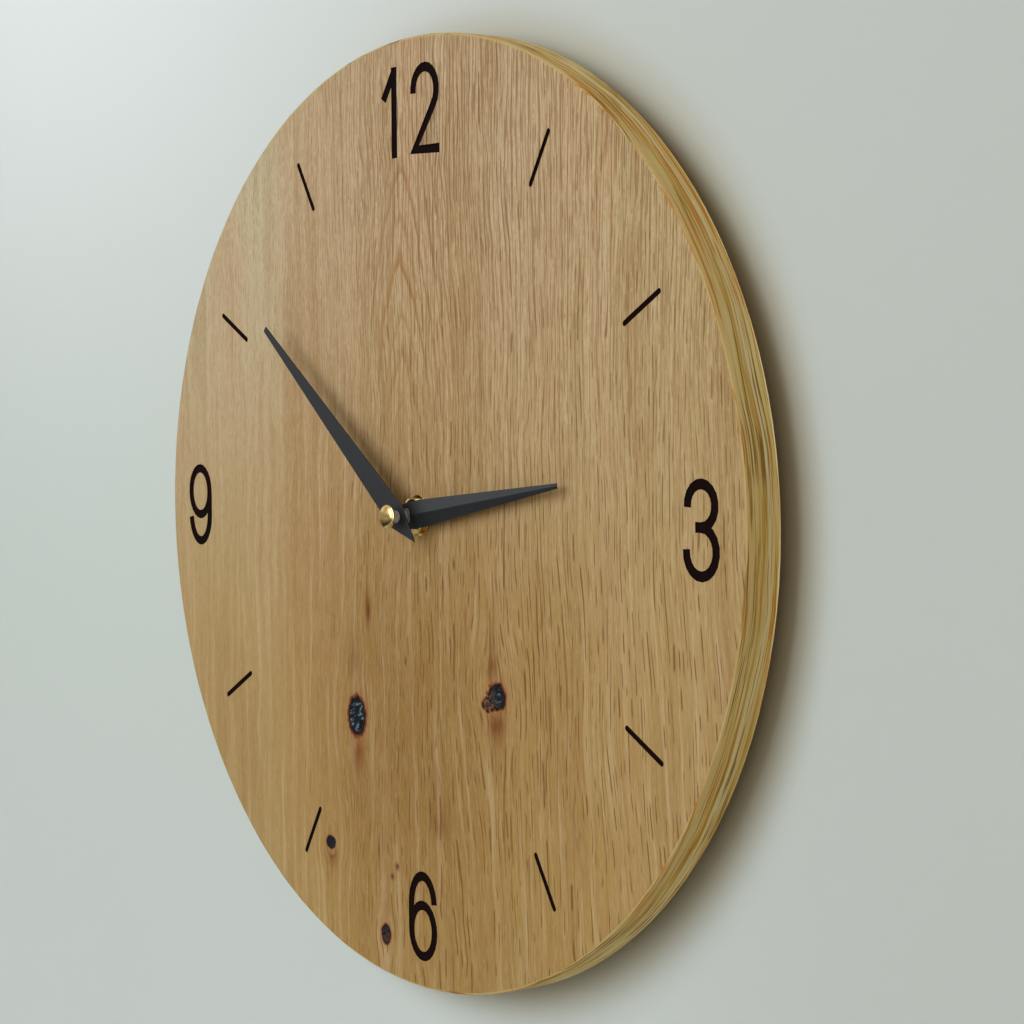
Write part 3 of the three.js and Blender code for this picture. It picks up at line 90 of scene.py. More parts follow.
class Shade:
    """Builds one node material. Values are numbers, colours or output sockets."""

    # Sockets of the Mix node by number, because its colours and floats share names:
    # factor, first value, second value and result
    COLOUR_SOCKETS = (0, 6, 7, 2)
    FLOAT_SOCKETS = (0, 2, 3, 0)

    def __init__(self, name):
        self.material = bpy.data.materials.new(name)
        self.material.use_nodes = True
        self.tree = self.material.node_tree
        self.tree.nodes.clear()
        self.output = self.tree.nodes.new("ShaderNodeOutputMaterial")
        self.shader = self.tree.nodes.new("ShaderNodeBsdfPrincipled")
        self.tree.links.new(self.shader.outputs[0], self.output.inputs["Surface"])

    def node(self, kind, **settings):
        made = self.tree.nodes.new(kind)
        for key, value in settings.items():
            setattr(made, key, value)
        return made

    def feed(self, socket, value):
        """Links an output socket, or sets a value, with alpha 1 added to a colour."""
        if isinstance(value, bpy.types.NodeSocket):
            self.tree.links.new(value, socket)
        elif hasattr(socket.default_value, "__len__") and len(value) < len(socket.default_value):
            socket.default_value = (*value, 1)
        else:
            socket.default_value = value

    def set(self, **values):
        for key, value in values.items():
            self.feed(self.shader.inputs[key.replace("_", " ")], value)
        return self

    def math(self, operation, *values):
        made = self.node("ShaderNodeMath", operation=operation)
        for socket, value in zip(made.inputs, values):
            self.feed(socket, value)
        return made.outputs[0]

    def fold(self, operation, first, *others):
        """The operation applied to the values one after another."""
        for other in others:
            first = self.math(operation, first, other)
        return first

    def add(self, *values):
        return self.fold("ADD", *values)

    def mul(self, *values):
        return self.fold("MULTIPLY", *values)

    def sub(self, a, b):
        return self.math("SUBTRACT", a, b)

    def swing(self, noise, reach):
        """Noise about its middle, times a reach."""
        return self.mul(self.sub(noise, 0.5), reach)

    def smooth(self, value, span):
        """0 before the span, 1 after it and smooth between; the span may run downwards."""
        start, end = span
        flip = start > end
        made = self.node("ShaderNodeMapRange", interpolation_type="SMOOTHSTEP")
        self.feed(made.inputs["Value"], value)
        made.inputs["From Min"].default_value = min(span)
        made.inputs["From Max"].default_value = max(span)
        made.inputs["To Min"].default_value = 1.0 if flip else 0.0
        made.inputs["To Max"].default_value = 0.0 if flip else 1.0
        return made.outputs["Result"]

    def vector(self, x, y, z):
        made = self.node("ShaderNodeCombineXYZ")
        for socket, value in zip(made.inputs, (x, y, z)):
            self.feed(socket, value)
        return made.outputs[0]

    def place(self):
        """Place on the piece at rest, as x, y and z in millimetres."""
        coordinates = self.node("ShaderNodeTexCoord").outputs["Object"]
        parts = self.node("ShaderNodeSeparateXYZ")
        self.feed(parts.inputs[0], coordinates)
        return [self.mul(output, 1 / MM) for output in parts.outputs]

    def radius(self, x, z):
        """Distance from the hand axis."""
        return self.math("SQRT", self.add(self.mul(x, x), self.mul(z, z)))

    def noise(self, vector, scale=1.0, detail=2.0, roughness=0.5):
        made = self.node("ShaderNodeTexNoise")
        self.feed(made.inputs["Vector"], vector)
        made.inputs["Scale"].default_value = scale
        made.inputs["Detail"].default_value = detail
        made.inputs["Roughness"].default_value = roughness
        return made.outputs["Fac"]

    def mixed(self, data_type, sockets, factor, a, b):
        factor_socket, a_socket, b_socket, result = sockets
        made = self.node("ShaderNodeMix", data_type=data_type)
        self.feed(made.inputs[factor_socket], factor)
        self.feed(made.inputs[a_socket], a)
        self.feed(made.inputs[b_socket], b)
        return made.outputs[result]

    def mix(self, factor, a, b):
        """From colour a to colour b."""
        return self.mixed("RGBA", self.COLOUR_SOCKETS, factor, a, b)

    def blend(self, factor, a, b):
        """From number a to number b."""
        return self.mixed("FLOAT", self.FLOAT_SOCKETS, factor, a, b)

    def tint(self, colour, tone, *masks):
        """The colour, turned towards a tone by the product of the masks."""
        return self.mix(self.mul(*masks), colour, tone)

    def bump(self, height, distance, strength):
        made = self.node("ShaderNodeBump")
        self.feed(made.inputs["Height"], height)
        made.inputs["Distance"].default_value = distance * MM
        made.inputs["Strength"].default_value = strength
        return made.outputs["Normal"]

    def away(self, flat, spot):
        """Vector from a spot on the face, as shares of the spot's half sizes."""
        x, z, half_wide, half_high, *_ = spot
        made = self.node("ShaderNodeVectorMath", operation="MULTIPLY_ADD")
        self.feed(made.inputs[0], flat)
        made.inputs[1].default_value = (1 / half_wide, 0, 1 / half_high)
        made.inputs[2].default_value = (-x / half_wide, 0, -z / half_high)
        return made.outputs["Vector"]

    def distance(self, flat, spot):
        """Distance from a spot, 1 at its edge."""
        made = self.node("ShaderNodeVectorMath", operation="LENGTH")
        self.feed(made.inputs[0], self.away(flat, spot))
        return made.outputs["Value"]

    def glow(self, flat, spot):
        """A bell that is 1 at the spot and fades with the square of the distance."""
        vector = self.away(flat, spot)
        made = self.node("ShaderNodeVectorMath", operation="DOT_PRODUCT")
        self.feed(made.inputs[0], vector)
        self.feed(made.inputs[1], vector)
        return self.math("POWER", math.exp(-1), made.outputs["Value"])


# Tones of the oak face, its rim and its marks
OAK_TOP_PALER_AND_LIT = linear(198, 172, 138)
OAK_LOW_DARKER_AND_SHADED = linear(174, 140, 82)
OAK_LEFT = linear(202, 188, 154)
OAK_RIGHT = linear(184, 155, 104)
OAK_HAY = linear(192, 171, 126)
OAK_WARM = linear(178, 138, 98)
OAK_HEART = linear(146, 109, 56)
OAK_ROSE = linear(196, 156, 122)
OAK_ROW = linear(142, 102, 58)
OAK_PORE = linear(112, 74, 32)
OAK_STREAK = linear(154, 115, 68)
OAK_FIGURE = linear(158, 114, 62)
OAK_PALE = linear(210, 186, 146)
OAK_RED = linear(124, 74, 40)
KNOT_ROSE = linear(164, 110, 70)
KNOT_PINK = linear(166, 114, 82)
KNOT_RED = linear(104, 44, 28)
KNOT_LINE = linear(22, 14, 14)
KNOT_HEART = linear(24, 35, 41)
KNOT_BROWN = linear(72, 54, 46)
KNOT_GLINT = linear(124, 146, 152)
BURNT = linear(12, 0, 0)
CHARRED = linear(38, 9, 0)
# The rim's base and dark tones are its own yellower grain lifted lighter: painted light that makes
# up for the little lamp light reaching the rim
RIM_FRONT = linear(196, 166, 108)
RIM_BASE_WITH_PAINTED_LIGHT = linear(212, 186, 116)
RIM_DARK_WITH_PAINTED_LIGHT = linear(188, 150, 72)
RIM_BROWN = linear(124, 88, 32)
RIM_ORANGE = linear(186, 116, 30)
RIM_PALE = linear(218, 202, 152)
RIM_GREY = linear(212, 200, 160)

# In all that follows, a span is where something starts and where it is full. A share is how
# much of it there is, and shares are how much at the start and at the end of what they follow.
# Places and sizes are in millimetres. A spot or patch is x, z, half width and half height.

# Depths below the face where stains end, and where the grain of the back takes over
FACE_SPAN = (1.2, 1.0)
BACK_SPAN = (6.0, 7.0)
BACK_SHIFT = 400.0

# Noise on the face: cycles per millimetre across, seed, cycles per millimetre along, detail
# and roughness
FIELDS = {
    "wander": (0.012, 0.0, 0.006, 2, 0.5),
    "wave": (0.07, 2.0, 0.035, 2, 0.5),
    "broad": (0.06, 3.0, 0.005, 2, 0.5),
    "rings": (0.3, 7.0, 0.01, 2, 0.6),
    "fibres": (1.4, 11.0, 0.07, 3, 0.65),
    "sway": (0.06, 23.0, 0.03, 2, 0.5),
    "ripple": (0.5, 31.0, 0.5, 2, 0.5),
    "crazing": (0.35, 37.0, 0.9, 3, 0.65),
    "drift": (0.02, 41.0, 0.014, 2, 0.5),
    "ragged": (0.55, 67.0, 0.55, 1, 0.5),
}
# Noise on the rim: cycles per millimetre in x, in depth and in z, detail and roughness
RIM_FIELDS = {
    "strata": (0.01, 0.5, 0.008, 2, 0.6),
    "threads": (0.04, 1.5, 0.03, 2, 0.6),
    "burn": (0.03, 0.3, 0.02, 1, 0.5),
}

# How far the grain swings, how it leans low on the right and how it bends round the knots
WANDER = 14.0
WAVE = 5.0
CALM_SPAN = (10.0, 80.0)
CALM_SHARE = 0.4
LEAN_BELOW = -10.0
LEAN_SPAN = (-10.0, 50.0)
LEAN = 0.07
BEND_SHARE = 0.55
BENDS = [
    (-35.5, -66.5, 14.0, 20.4),
    (37.3, -54.0, 13.0, 18.0),
    (-51.5, -110.7, 8.0, 8.4),
    (-20.4, -136.2, 6.0, 6.0),
]

# Slow changes of tone: over the height, partly the oak's own tone and partly painted light from
# above, at the right, high up on the right, in two patches and at the left
HEIGHT_SPAN = (-70.0, 125.0)
RIGHT_SPAN = (80.0, 140.0)
RIGHT_SHARE = 0.7
HAY_SPAN = (35.0, 95.0)
HAY_SHARE = 0.6
WARM_PATCH = (-58, -8, 28, 66)
WARM_SHARE = 0.45
HEART_PATCH = (-9, -68, 46, 80)
HEART_SHARE = 0.88
LEFT_SPAN = (-66.0, -90.0)
LEFT_SHARES = (0.15, 0.95)

# Tones that follow the noise of the wood
ROSE_SPAN = (0.52, 0.36)
ROSE_SHARES = (0.1, 0.5)
BROAD_SPAN = (0.5, 0.68)
BROAD_SHARE = 0.3
DARK_RING_SPAN = (0.5, 0.72)
PALE_RING_SPAN = (0.5, 0.3)
RING_SHARE = 0.34
PLAIN_SPAN = (-90.0, 20.0)
PLAIN_SIDE_SHARES = (0.6, 1.0)
PLAIN_LOW_SHARES = (0.5, 1.0)
DARK_FIBRE_SPAN = (0.48, 0.66)
DARK_FIBRE_SHARE = 0.34
PALE_FIBRE_SPAN = (0.5, 0.34)
PALE_FIBRE_SHARE = 0.4

# Nested arches above the middle
ARCH_LEFT = 9.0
ARCH_SWAY = 16.0
ARCH_CURVE = 0.11
ARCH_SLOPE = 1.4
ARCH_PITCH = 29
ARCH_REACH = 0.3
SECOND_ARCH_AT = 0.55
SECOND_ARCH_REACH = 0.22
SECOND_ARCH_SHARE = 0.6
ARCH_PATCH = (0, 78, 34, 60)
ARCH_SHARE = 0.8
ARCH_START_SPAN = (0.0, 0.05)
ARCH_FULL = 0.06

# Thin lines along the grain: pitch, seed, half width, changes per millimetre along, and the
# noise level at which they start
STRANDS = {
    "specks": (0.9, 61.0, 0.3, 0.3, 0.46),
    "glints": (1.1, 71.0, 0.36, 0.26, 0.48),
    "rows": (2.3, 19.0, 0.42, 0.03, 0.4),
    "fine_rows": (1.3, 29.0, 0.26, 0.05, 0.43),
    "dashes": (1.7, 43.0, 0.3, 0.09, 0.5),
    "bold": (2.6, 53.0, 0.42, 0.05, 0.47),
}
STRAND_DRIFT_ACROSS = 0.3
STRAND_DRIFT_ALONG = 0.012
STRAND_DRIFT = 3.0
STRAND_STEP = 5.3
STRAND_NEXT_SEED = 5
STRAND_CORE_SHARE = 0.3
STRAND_END_SPAN = 0.1

# Speckles, then pores in rows, dashes and bold dashes; the pores are weak at the pale left edge
SPECKLE_SHARES = (0.13, 0.34)
ROW_SHARES = (0.32, 0.9)
FINE_ROW_SHARES = (0.26, 0.85)
DASH_SHARES = (0.88, 0.6)
BOLD_PATCH = (52, -40, 27, 75)
PALE_LEFT_SPAN = (-90.0, 10.0)
PALE_LEFT_SHARES = (0.12, 1.0)
ROW_SHARE = 0.8
PORE_SHARE = 0.9
ROW_RELIEF_SHARE = 0.6

# Soft brown stains above and below the knots: a spot and its strength
STAINS = [
    (-37.0, -48.5, 3.4, 8.0, 0.4),
    (-34.6, -77.5, 3.2, 6.0, 0.7),
    (-35.8, -90.0, 3.4, 11.0, 0.28),
    (37.2, -45.6, 2.4, 3.8, 0.8),
    (37.0, -36.0, 1.6, 10.0, 0.35),
    (38.6, -62.4, 4.6, 4.4, 0.8),
    (38.4, -71.0, 3.8, 9.0, 0.28),
    (-50.4, -115.0, 2.8, 3.0, 0.7),
    (-28.4, -31.4, 1.5, 5.0, 0.9),
    (-29.2, -22.0, 0.9, 9.0, 0.4),
    (10.4, -96.0, 5.0, 5.5, 0.55),
    (9.2, -84.0, 4.0, 6.0, 0.22),
    (-19.8, -128.0, 1.6, 6.0, 0.35),
]
STAIN_SPAN = (0.35, 0.65)
STAIN_SHARES = (0.65, 1.25)
# Small dark flecks: a spot and its strength
FLECKS = [
    (-28.4, -31.8, 0.8, 2.8, 0.7),
    (-8.0, -46.7, 0.6, 1.5, 0.8),
    (-13.6, -113.0, 1.1, 1.2, 0.95),
    (-16.4, -116.6, 1.1, 1.1, 0.95),
    (-23.9, -109.6, 0.5, 4.4, 0.6),
    (12.1, -21.2, 0.5, 3.4, 0.7),
]

# Knots; the second and third are the two lobes of the right one
KNOTS = [
    (-35.4, -66.5, 4.5, 5.9),
    (39.2, -53.8, 3.9, 3.6),
    (35.2, -56.5, 2.9, 2.1),
    (-51.4, -110.0, 2.4, 1.9),
    (-20.2, -135.8, 2.3, 2.9),
]
KNOT_RIPPLE = 0.4
# Bands round a knot, by the distance from it: tone, span and share
KNOT_BANDS = [
    (KNOT_ROSE, (2.0, 1.15), 0.4),
    (KNOT_RED, (1.36, 1.14), 0.9),
    (KNOT_LINE, (1.14, 1.0), 1.0),
]
KNOT_HEART_SPAN = (0.98, 0.8)
# The broken outline of the right knot, and the wood left standing in its lower left
RAGGED_PATCH = (36.8, -55.4, 8.0, 7.0)
RAGGED = 1.1
ISLAND_PATCH = (34.8, -56.8, 3.8, 3.4)
ISLAND_SPAN = (0.5, 0.6)
ISLAND_SHARE = 0.55
# The pinkish ring below the small knot low on the left
PINK_SPOT = (-51.1, -111.8, 2.7, 3.1)
PINK_RIPPLE = 0.5
PINK_SPAN = (1.15, 0.6)
PINK_SHARE = 0.5
PINK_EDGE_SPAN = (0.24, 0.06)
PINK_EDGE_SHARE = 0.4
# The crazed hearts: where they are brown, where they glint and where they crack
CRAZING_SLANT = 0.35
BROWN_PATCHES = [(35.6, -57.0, 3.0, 3.6), (-20.2, -137.0, 3.0, 3.4)]
LIT_PATCH = (-35.4, -66.5, 7.0, 8.0)
SMALL_LIT_PATCH = (40.2, -53.6, 2.0, 2.0)
SMALL_LIT_SHARE = 0.7
LIT_MOST = 0.9
GLINT_SPAN = (0.52, 0.62)
CRACK_SPAN = (0.48, 0.4)

# The rim: layers by depth from the front, a grey stripe, and pale and dark threads
RIM_DRIFT = 7.0
STRATA_SPAN = (0.42, 0.62)
STRIPE_DEPTH = 8.6
STRIPE_SPAN = (1.1, 0.4)
STRIPE_SHARE = 0.7
PALE_THREAD_SPAN = (0.47, 0.36)
PALE_THREAD_SHARE = 0.7
RIM_FRONT_SPAN = (5.5, 1.0)
RIM_FRONT_SHARE = 0.7
ORANGE_SPAN = (0.4, 0.52)
DARK_THREAD_SPAN = (0.53, 0.59)
DARK_THREAD_SHARE = 0.85
RIM_SPAN = (DISC_RADIUS - 1.2, DISC_RADIUS - 0.3)

# The marks are burnt between these depths, inside this radius
BURN_SPAN = (0.06, 0.16)
BURN_END_SPAN = (0.6, 0.5)
MARK_SPAN = (146, 143)
CHAR_SPAN = (0.5, 0.7)
CHAR_SHARE = 0.6

# Gloss and relief of the oak
OAK_ROUGH = (0.55, 0.7)
BURNT_ROUGH = 0.85
HEART_ROUGH = 0.3
FIBRE_RELIEF = 0.25
HEART_RELIEF = (4.0, 2.0)
OAK_BUMP = (0.12, 0.5)
OAK_SPECULAR = 0.08


class Oak:
    """The oak of the disc: face, back, rim and burnt marks in one material."""

    def __init__(self):
        s = self.shade = Shade("oak_face_rim_and_marks")
        self.x, y, self.z = s.place()
        self.radius = s.radius(self.x, self.z)
        self.depth = s.sub(y, FACE_Y)
        self.on_face = s.smooth(self.depth, FACE_SPAN)
        self.behind = s.smooth(self.depth, BACK_SPAN)
        self.side = s.mul(self.x, s.blend(self.behind, 1.0, -1.0))
        self.face = s.vector(self.x, 0.0, self.z)
        self.turned_face = s.vector(self.side, 0.0, self.z)
        self.height = s.smooth(self.z, HEIGHT_SPAN)
        self.grain = self.bent_grain()
        self.run = s.add(self.z, s.mul(self.behind, BACK_SHIFT))
        self.fibres = self.field("fibres", self.grain, self.run)
        self.ripple = self.field("ripple", self.x, self.z)

        # Lighter high up, darker and more saturated low down: partly the oak's own tone, partly
        # painted light from above
        self.colour = s.mix(self.height, OAK_LOW_DARKER_AND_SHADED, OAK_TOP_PALER_AND_LIT)
        self.change_slowly()
        self.follow_grain()
        self.draw_arches()
        self.speckle()
        pores = self.draw_pores()
        self.stain()
        heart, crazing = self.draw_knots()
        self.cover_rim()
        burnt = self.burn_marks()

        rough = s.blend(self.fibres, *OAK_ROUGH)
        rough = s.blend(burnt, rough, BURNT_ROUGH)
        rough = s.blend(heart, rough, HEART_ROUGH)
        relief = s.sub(s.mul(self.fibres, FIBRE_RELIEF), pores)
        relief = s.sub(relief, s.mul(heart, s.blend(crazing, *HEART_RELIEF)))
        s.set(Base_Color=self.colour, Roughness=rough, Normal=s.bump(relief, *OAK_BUMP),
              Specular_IOR_Level=OAK_SPECULAR)

    def field(self, name, across, along):
        s = self.shade
        per_across, seed, per_along, detail, roughness = FIELDS[name]
        spot = s.vector(s.mul(across, per_across), seed, s.mul(along, per_along))
        return s.noise(spot, detail=detail, roughness=roughness)

    def rim_field(self, name, layer):
        s = self.shade
        per_x, per_layer, per_z, detail, roughness = RIM_FIELDS[name]
        spot = s.vector(s.mul(self.x, per_x), s.mul(layer, per_layer), s.mul(self.z, per_z))
        return s.noise(spot, detail=detail, roughness=roughness)

    def tint(self, tone, *masks):
        self.colour = self.shade.tint(self.colour, tone, *masks)

    def bent_grain(self):
        """Across the grain, which runs upright, leans low on the right and bends round knots."""
        s = self.shade
        wander = s.swing(self.field("wander", self.x, self.z), WANDER)
        wave = s.swing(self.field("wave", self.side, self.z), WAVE)
        wave = s.mul(wave, s.blend(s.smooth(self.side, CALM_SPAN), 1.0, CALM_SHARE))
        lean = s.mul(s.math("MINIMUM", s.sub(self.z, LEAN_BELOW), 0.0),
                     s.smooth(self.side, LEAN_SPAN), LEAN)
        grain = s.add(self.side, s.add(wander, wave), lean)
        for bend in BENDS:
            push = s.glow(self.face, bend)
            grain = s.sub(grain, s.mul(s.sub(self.x, bend[0]), push, BEND_SHARE))
        return grain

    def strands(self, name):
        """Thin lines about a pitch apart, each of which starts and stops along the grain."""
        s = self.shade
        pitch, seed, half_wide, rate, level = STRANDS[name]
        drift = s.noise(s.vector(s.mul(self.grain, STRAND_DRIFT_ACROSS / pitch), seed,
                                 s.mul(self.run, STRAND_DRIFT_ALONG)), detail=1)
        turn = s.add(s.mul(self.grain, 1 / pitch), s.mul(drift, STRAND_DRIFT))
        near = s.math("PINGPONG", turn, 0.5)
        number = s.math("ROUND", turn)
        part = s.noise(s.vector(s.mul(number, STRAND_STEP), seed + STRAND_NEXT_SEED,
                                s.mul(self.run, rate)), detail=1)
        reach = half_wide / pitch
        return s.mul(s.smooth(near, (reach, reach * STRAND_CORE_SHARE)),
                     s.smooth(part, (level, level + STRAND_END_SPAN)))

    def change_slowly(self):
        """Slow changes of tone over the face."""
        s, side, height = self.shade, self.side, self.height
        self.tint(OAK_RIGHT, s.smooth(side, RIGHT_SPAN), RIGHT_SHARE)
        self.tint(OAK_HAY, s.smooth(side, HAY_SPAN), height, HAY_SHARE)
        self.tint(OAK_WARM, s.glow(self.turned_face, WARM_PATCH), WARM_SHARE)
        self.tint(OAK_HEART, s.glow(self.turned_face, HEART_PATCH), HEART_SHARE)
        self.tint(OAK_LEFT, s.smooth(side, LEFT_SPAN),
                  s.blend(s.mul(height, height), *LEFT_SHARES))

    def follow_grain(self):
        """Streaks, growth rings and fibres."""
        s, height, fibres = self.shade, self.height, self.fibres
        broad = self.field("broad", self.grain, self.run)
        rings = self.field("rings", self.grain, self.run)
        self.tint(OAK_ROSE, s.smooth(broad, ROSE_SPAN), s.blend(height, *ROSE_SHARES))
        self.tint(OAK_STREAK, s.smooth(broad, BROAD_SPAN), BROAD_SHARE)
        self.tint(OAK_STREAK, s.smooth(rings, DARK_RING_SPAN), RING_SHARE)
        self.tint(OAK_PALE, s.smooth(rings, PALE_RING_SPAN), RING_SHARE)
        figured = s.mul(s.blend(s.smooth(self.side, PLAIN_SPAN), *PLAIN_SIDE_SHARES),
                        s.blend(height, *PLAIN_LOW_SHARES))
        self.tint(OAK_STREAK, s.smooth(fibres, DARK_FIBRE_SPAN), figured, DARK_FIBRE_SHARE)
        self.tint(OAK_PALE, s.smooth(fibres, PALE_FIBRE_SPAN), figured, PALE_FIBRE_SHARE)

    def draw_arches(self):
        """Nested arches above the middle, each dark at its outer side and fading inwards."""
        s = self.shade

        def line(within, reach):
            return s.mul(s.smooth(within, ARCH_START_SPAN), s.smooth(within, (reach, ARCH_FULL)))

        bow = s.math("ABSOLUTE", s.add(self.grain, ARCH_LEFT))
        sway = s.mul(self.field("sway", self.x, self.z), ARCH_SWAY)
        rise = s.mul(bow, s.add(s.mul(bow, ARCH_CURVE), ARCH_SLOPE))
        arch = s.mul(s.add(self.run, sway, rise), 1 / ARCH_PITCH)
        second = line(s.math("FRACT", s.add(arch, SECOND_ARCH_AT)), SECOND_ARCH_REACH)
        arches = s.math("MAXIMUM", line(s.math("FRACT", arch), ARCH_REACH),
                        s.mul(second, SECOND_ARCH_SHARE))
        self.tint(OAK_FIGURE, arches, s.glow(self.turned_face, ARCH_PATCH), ARCH_SHARE)

    def speckle(self):
        """Short fibres, light and dark, over the whole face."""
        speckled = self.shade.blend(self.height, *SPECKLE_SHARES)
        self.tint(OAK_PALE, self.strands("glints"), speckled)
        self.tint(OAK_ROW, self.strands("specks"), speckled)

    def draw_pores(self):
        """Long rows high up and on the right, short dashes lower down; returns their relief."""
        s = self.shade
        upper = s.mul(self.height, self.height)
        rows = s.mul(self.strands("rows"), s.blend(upper, *ROW_SHARES))
        fine_rows = s.mul(self.strands("fine_rows"), s.blend(upper, *FINE_ROW_SHARES))
        dashes = s.mul(self.strands("dashes"), s.blend(self.height, *DASH_SHARES))
        bold = s.mul(self.strands("bold"), s.glow(self.turned_face, BOLD_PATCH))
        dashes = s.math("MAXIMUM", dashes, bold)
        pale_left = s.blend(s.smooth(self.side, PALE_LEFT_SPAN), *PALE_LEFT_SHARES)
        self.tint(OAK_ROW, s.math("MAXIMUM", rows, fine_rows), pale_left, ROW_SHARE)
        self.tint(OAK_PORE, dashes, pale_left, PORE_SHARE)
        return s.mul(s.math("MAXIMUM", s.mul(rows, ROW_RELIEF_SHARE), dashes), pale_left)

    def strengths(self, spots):
        """Sum of the glows of spots, each times its strength."""
        s = self.shade
        return s.add(*[s.mul(s.glow(self.face, spot), spot[-1]) for spot in spots])

    def stain(self):
        s = self.shade
        self.tint(OAK_RED, self.strengths(STAINS), self.on_face,
                  s.blend(s.smooth(self.fibres, STAIN_SPAN), *STAIN_SHARES))

    def draw_pink_ring(self):
        s = self.shade
        reach = s.add(s.distance(self.face, PINK_SPOT), s.swing(self.ripple, PINK_RIPPLE))
        self.tint(KNOT_PINK, s.smooth(reach, PINK_SPAN), self.on_face, PINK_SHARE)
        edge = s.smooth(s.math("ABSOLUTE", s.sub(reach, 1.0)), PINK_EDGE_SPAN)
        self.tint(KNOT_RED, edge, self.on_face, PINK_EDGE_SHARE)

    def draw_knots(self):
        """Knots and flecks; returns the masks of the hearts and of their crazing."""
        s, face = self.shade, self.face
        ragged = self.field("ragged", self.x, self.z)
        reach = s.fold("MINIMUM", *[s.distance(face, knot) for knot in KNOTS])
        reach = s.add(reach, s.swing(self.ripple, KNOT_RIPPLE),
                      s.swing(ragged, s.mul(s.glow(face, RAGGED_PATCH), RAGGED)))
        self.draw_pink_ring()
        for tone, span, share in KNOT_BANDS:
            self.tint(tone, s.smooth(reach, span), self.on_face, share)

        crazing = self.field("crazing", self.x, s.sub(self.z, s.mul(self.x, CRAZING_SLANT)))
        brown = s.add(*[s.glow(face, patch) for patch in BROWN_PATCHES])
        tone = s.mix(s.math("MINIMUM", brown, 1.0), KNOT_HEART, KNOT_BROWN)
        lit = s.add(s.glow(face, LIT_PATCH), s.mul(s.glow(face, SMALL_LIT_PATCH), SMALL_LIT_SHARE))
        tone = s.tint(tone, KNOT_GLINT, s.smooth(crazing, GLINT_SPAN),
                      s.math("MINIMUM", lit, LIT_MOST))
        tone = s.tint(tone, KNOT_LINE, s.smooth(crazing, CRACK_SPAN))
        heart = s.mul(s.smooth(reach, KNOT_HEART_SPAN), self.on_face)
        self.tint(tone, heart)
        self.tint(KNOT_ROSE, s.smooth(ragged, ISLAND_SPAN), s.glow(face, ISLAND_PATCH),
                  self.on_face, ISLAND_SHARE)
        self.tint(KNOT_RED, self.strengths(FLECKS), self.on_face)
        return heart, crazing

    def cover_rim(self):
        """Growth rings as lines that run round the rim, with a grey stripe nearer the back."""
        s = self.shade
        drift = self.field("drift", self.x, self.z)
        layer = s.add(self.depth, s.swing(drift, RIM_DRIFT))
        threads = self.rim_field("threads", layer)
        # Base and dark rim tones: the rim's grain, lifted lighter as painted light
        rim = s.mix(s.smooth(self.rim_field("strata", layer), STRATA_SPAN), RIM_BASE_WITH_PAINTED_LIGHT, RIM_DARK_WITH_PAINTED_LIGHT)
        stripe = s.smooth(s.math("ABSOLUTE", s.sub(layer, STRIPE_DEPTH)), STRIPE_SPAN)
        rim = s.tint(rim, RIM_GREY, stripe, STRIPE_SHARE)
        rim = s.tint(rim, RIM_PALE, s.smooth(threads, PALE_THREAD_SPAN), PALE_THREAD_SHARE)
        rim = s.tint(rim, RIM_FRONT, s.smooth(layer, RIM_FRONT_SPAN), RIM_FRONT_SHARE)
        dark = s.mix(s.smooth(self.rim_field("burn", layer), ORANGE_SPAN), RIM_BROWN, RIM_ORANGE)
        rim = s.tint(rim, dark, s.smooth(threads, DARK_THREAD_SPAN), DARK_THREAD_SHARE)
        self.tint(rim, s.smooth(self.radius, RIM_SPAN))

    def burn_marks(self):
        """Numerals and marks, burnt where the face lies below its own level; returns their mask."""
        s = self.shade
        burnt = s.mul(s.smooth(self.depth, BURN_SPAN), s.smooth(self.depth, BURN_END_SPAN),
                      s.smooth(self.radius, MARK_SPAN))
        char = s.tint(BURNT, CHARRED, s.smooth(self.fibres, CHAR_SPAN), CHAR_SHARE)
        self.tint(char, burnt)
        return burnt


# Relief of a finish: how high it stands in millimetres, and its strength
MOTTLED_BUMP = (0.03, 0.35)
TURNED_BUMP = (0.01, 0.4)
PAINT_BUMP = (0.015, 0.35)
COPPER_BUMP = (0.06, 0.8)
BOARD_BUMP = (0.04, 0.5)
SLEEVE_BUMP = (0.02, 0.3)
# Noise levels between which a finish changes from its first tone to its second
TONE_SPAN = (0.3, 0.7)
STAINED_SPAN = (0.35, 0.7)
SCUFFED_SPAN = (0.4, 0.8)
# Roughness of the noise that makes a fine grain
ROUGHER = 0.6


def mottled(name, tone, dark, scale, rough, grain, metallic=0.0, level=0.5):
    """A plain finish with slow change of tone, fine grain in its gloss and a light relief."""
    s = Shade(name)
    spot = s.vector(*s.place())
    slow = s.noise(spot, scale=scale, detail=3)
    fine = s.noise(spot, scale=grain, roughness=ROUGHER)
    colour = s.mix(s.smooth(slow, TONE_SPAN), linear(*tone), linear(*dark))
    return s.set(Base_Color=colour, Roughness=s.blend(fine, *rough), Metallic=metallic,
                 Normal=s.bump(fine, *MOTTLED_BUMP), Specular_IOR_Level=level).material


BRASS_TONES = linear(236, 208, 140), linear(172, 130, 58)
BRASS_ROUGH = (0.1, 0.2)
BRASS_RINGS = 8.0
BRASS_STAIN_SCALE = 0.5
BRASS_ANISOTROPY = 0.6


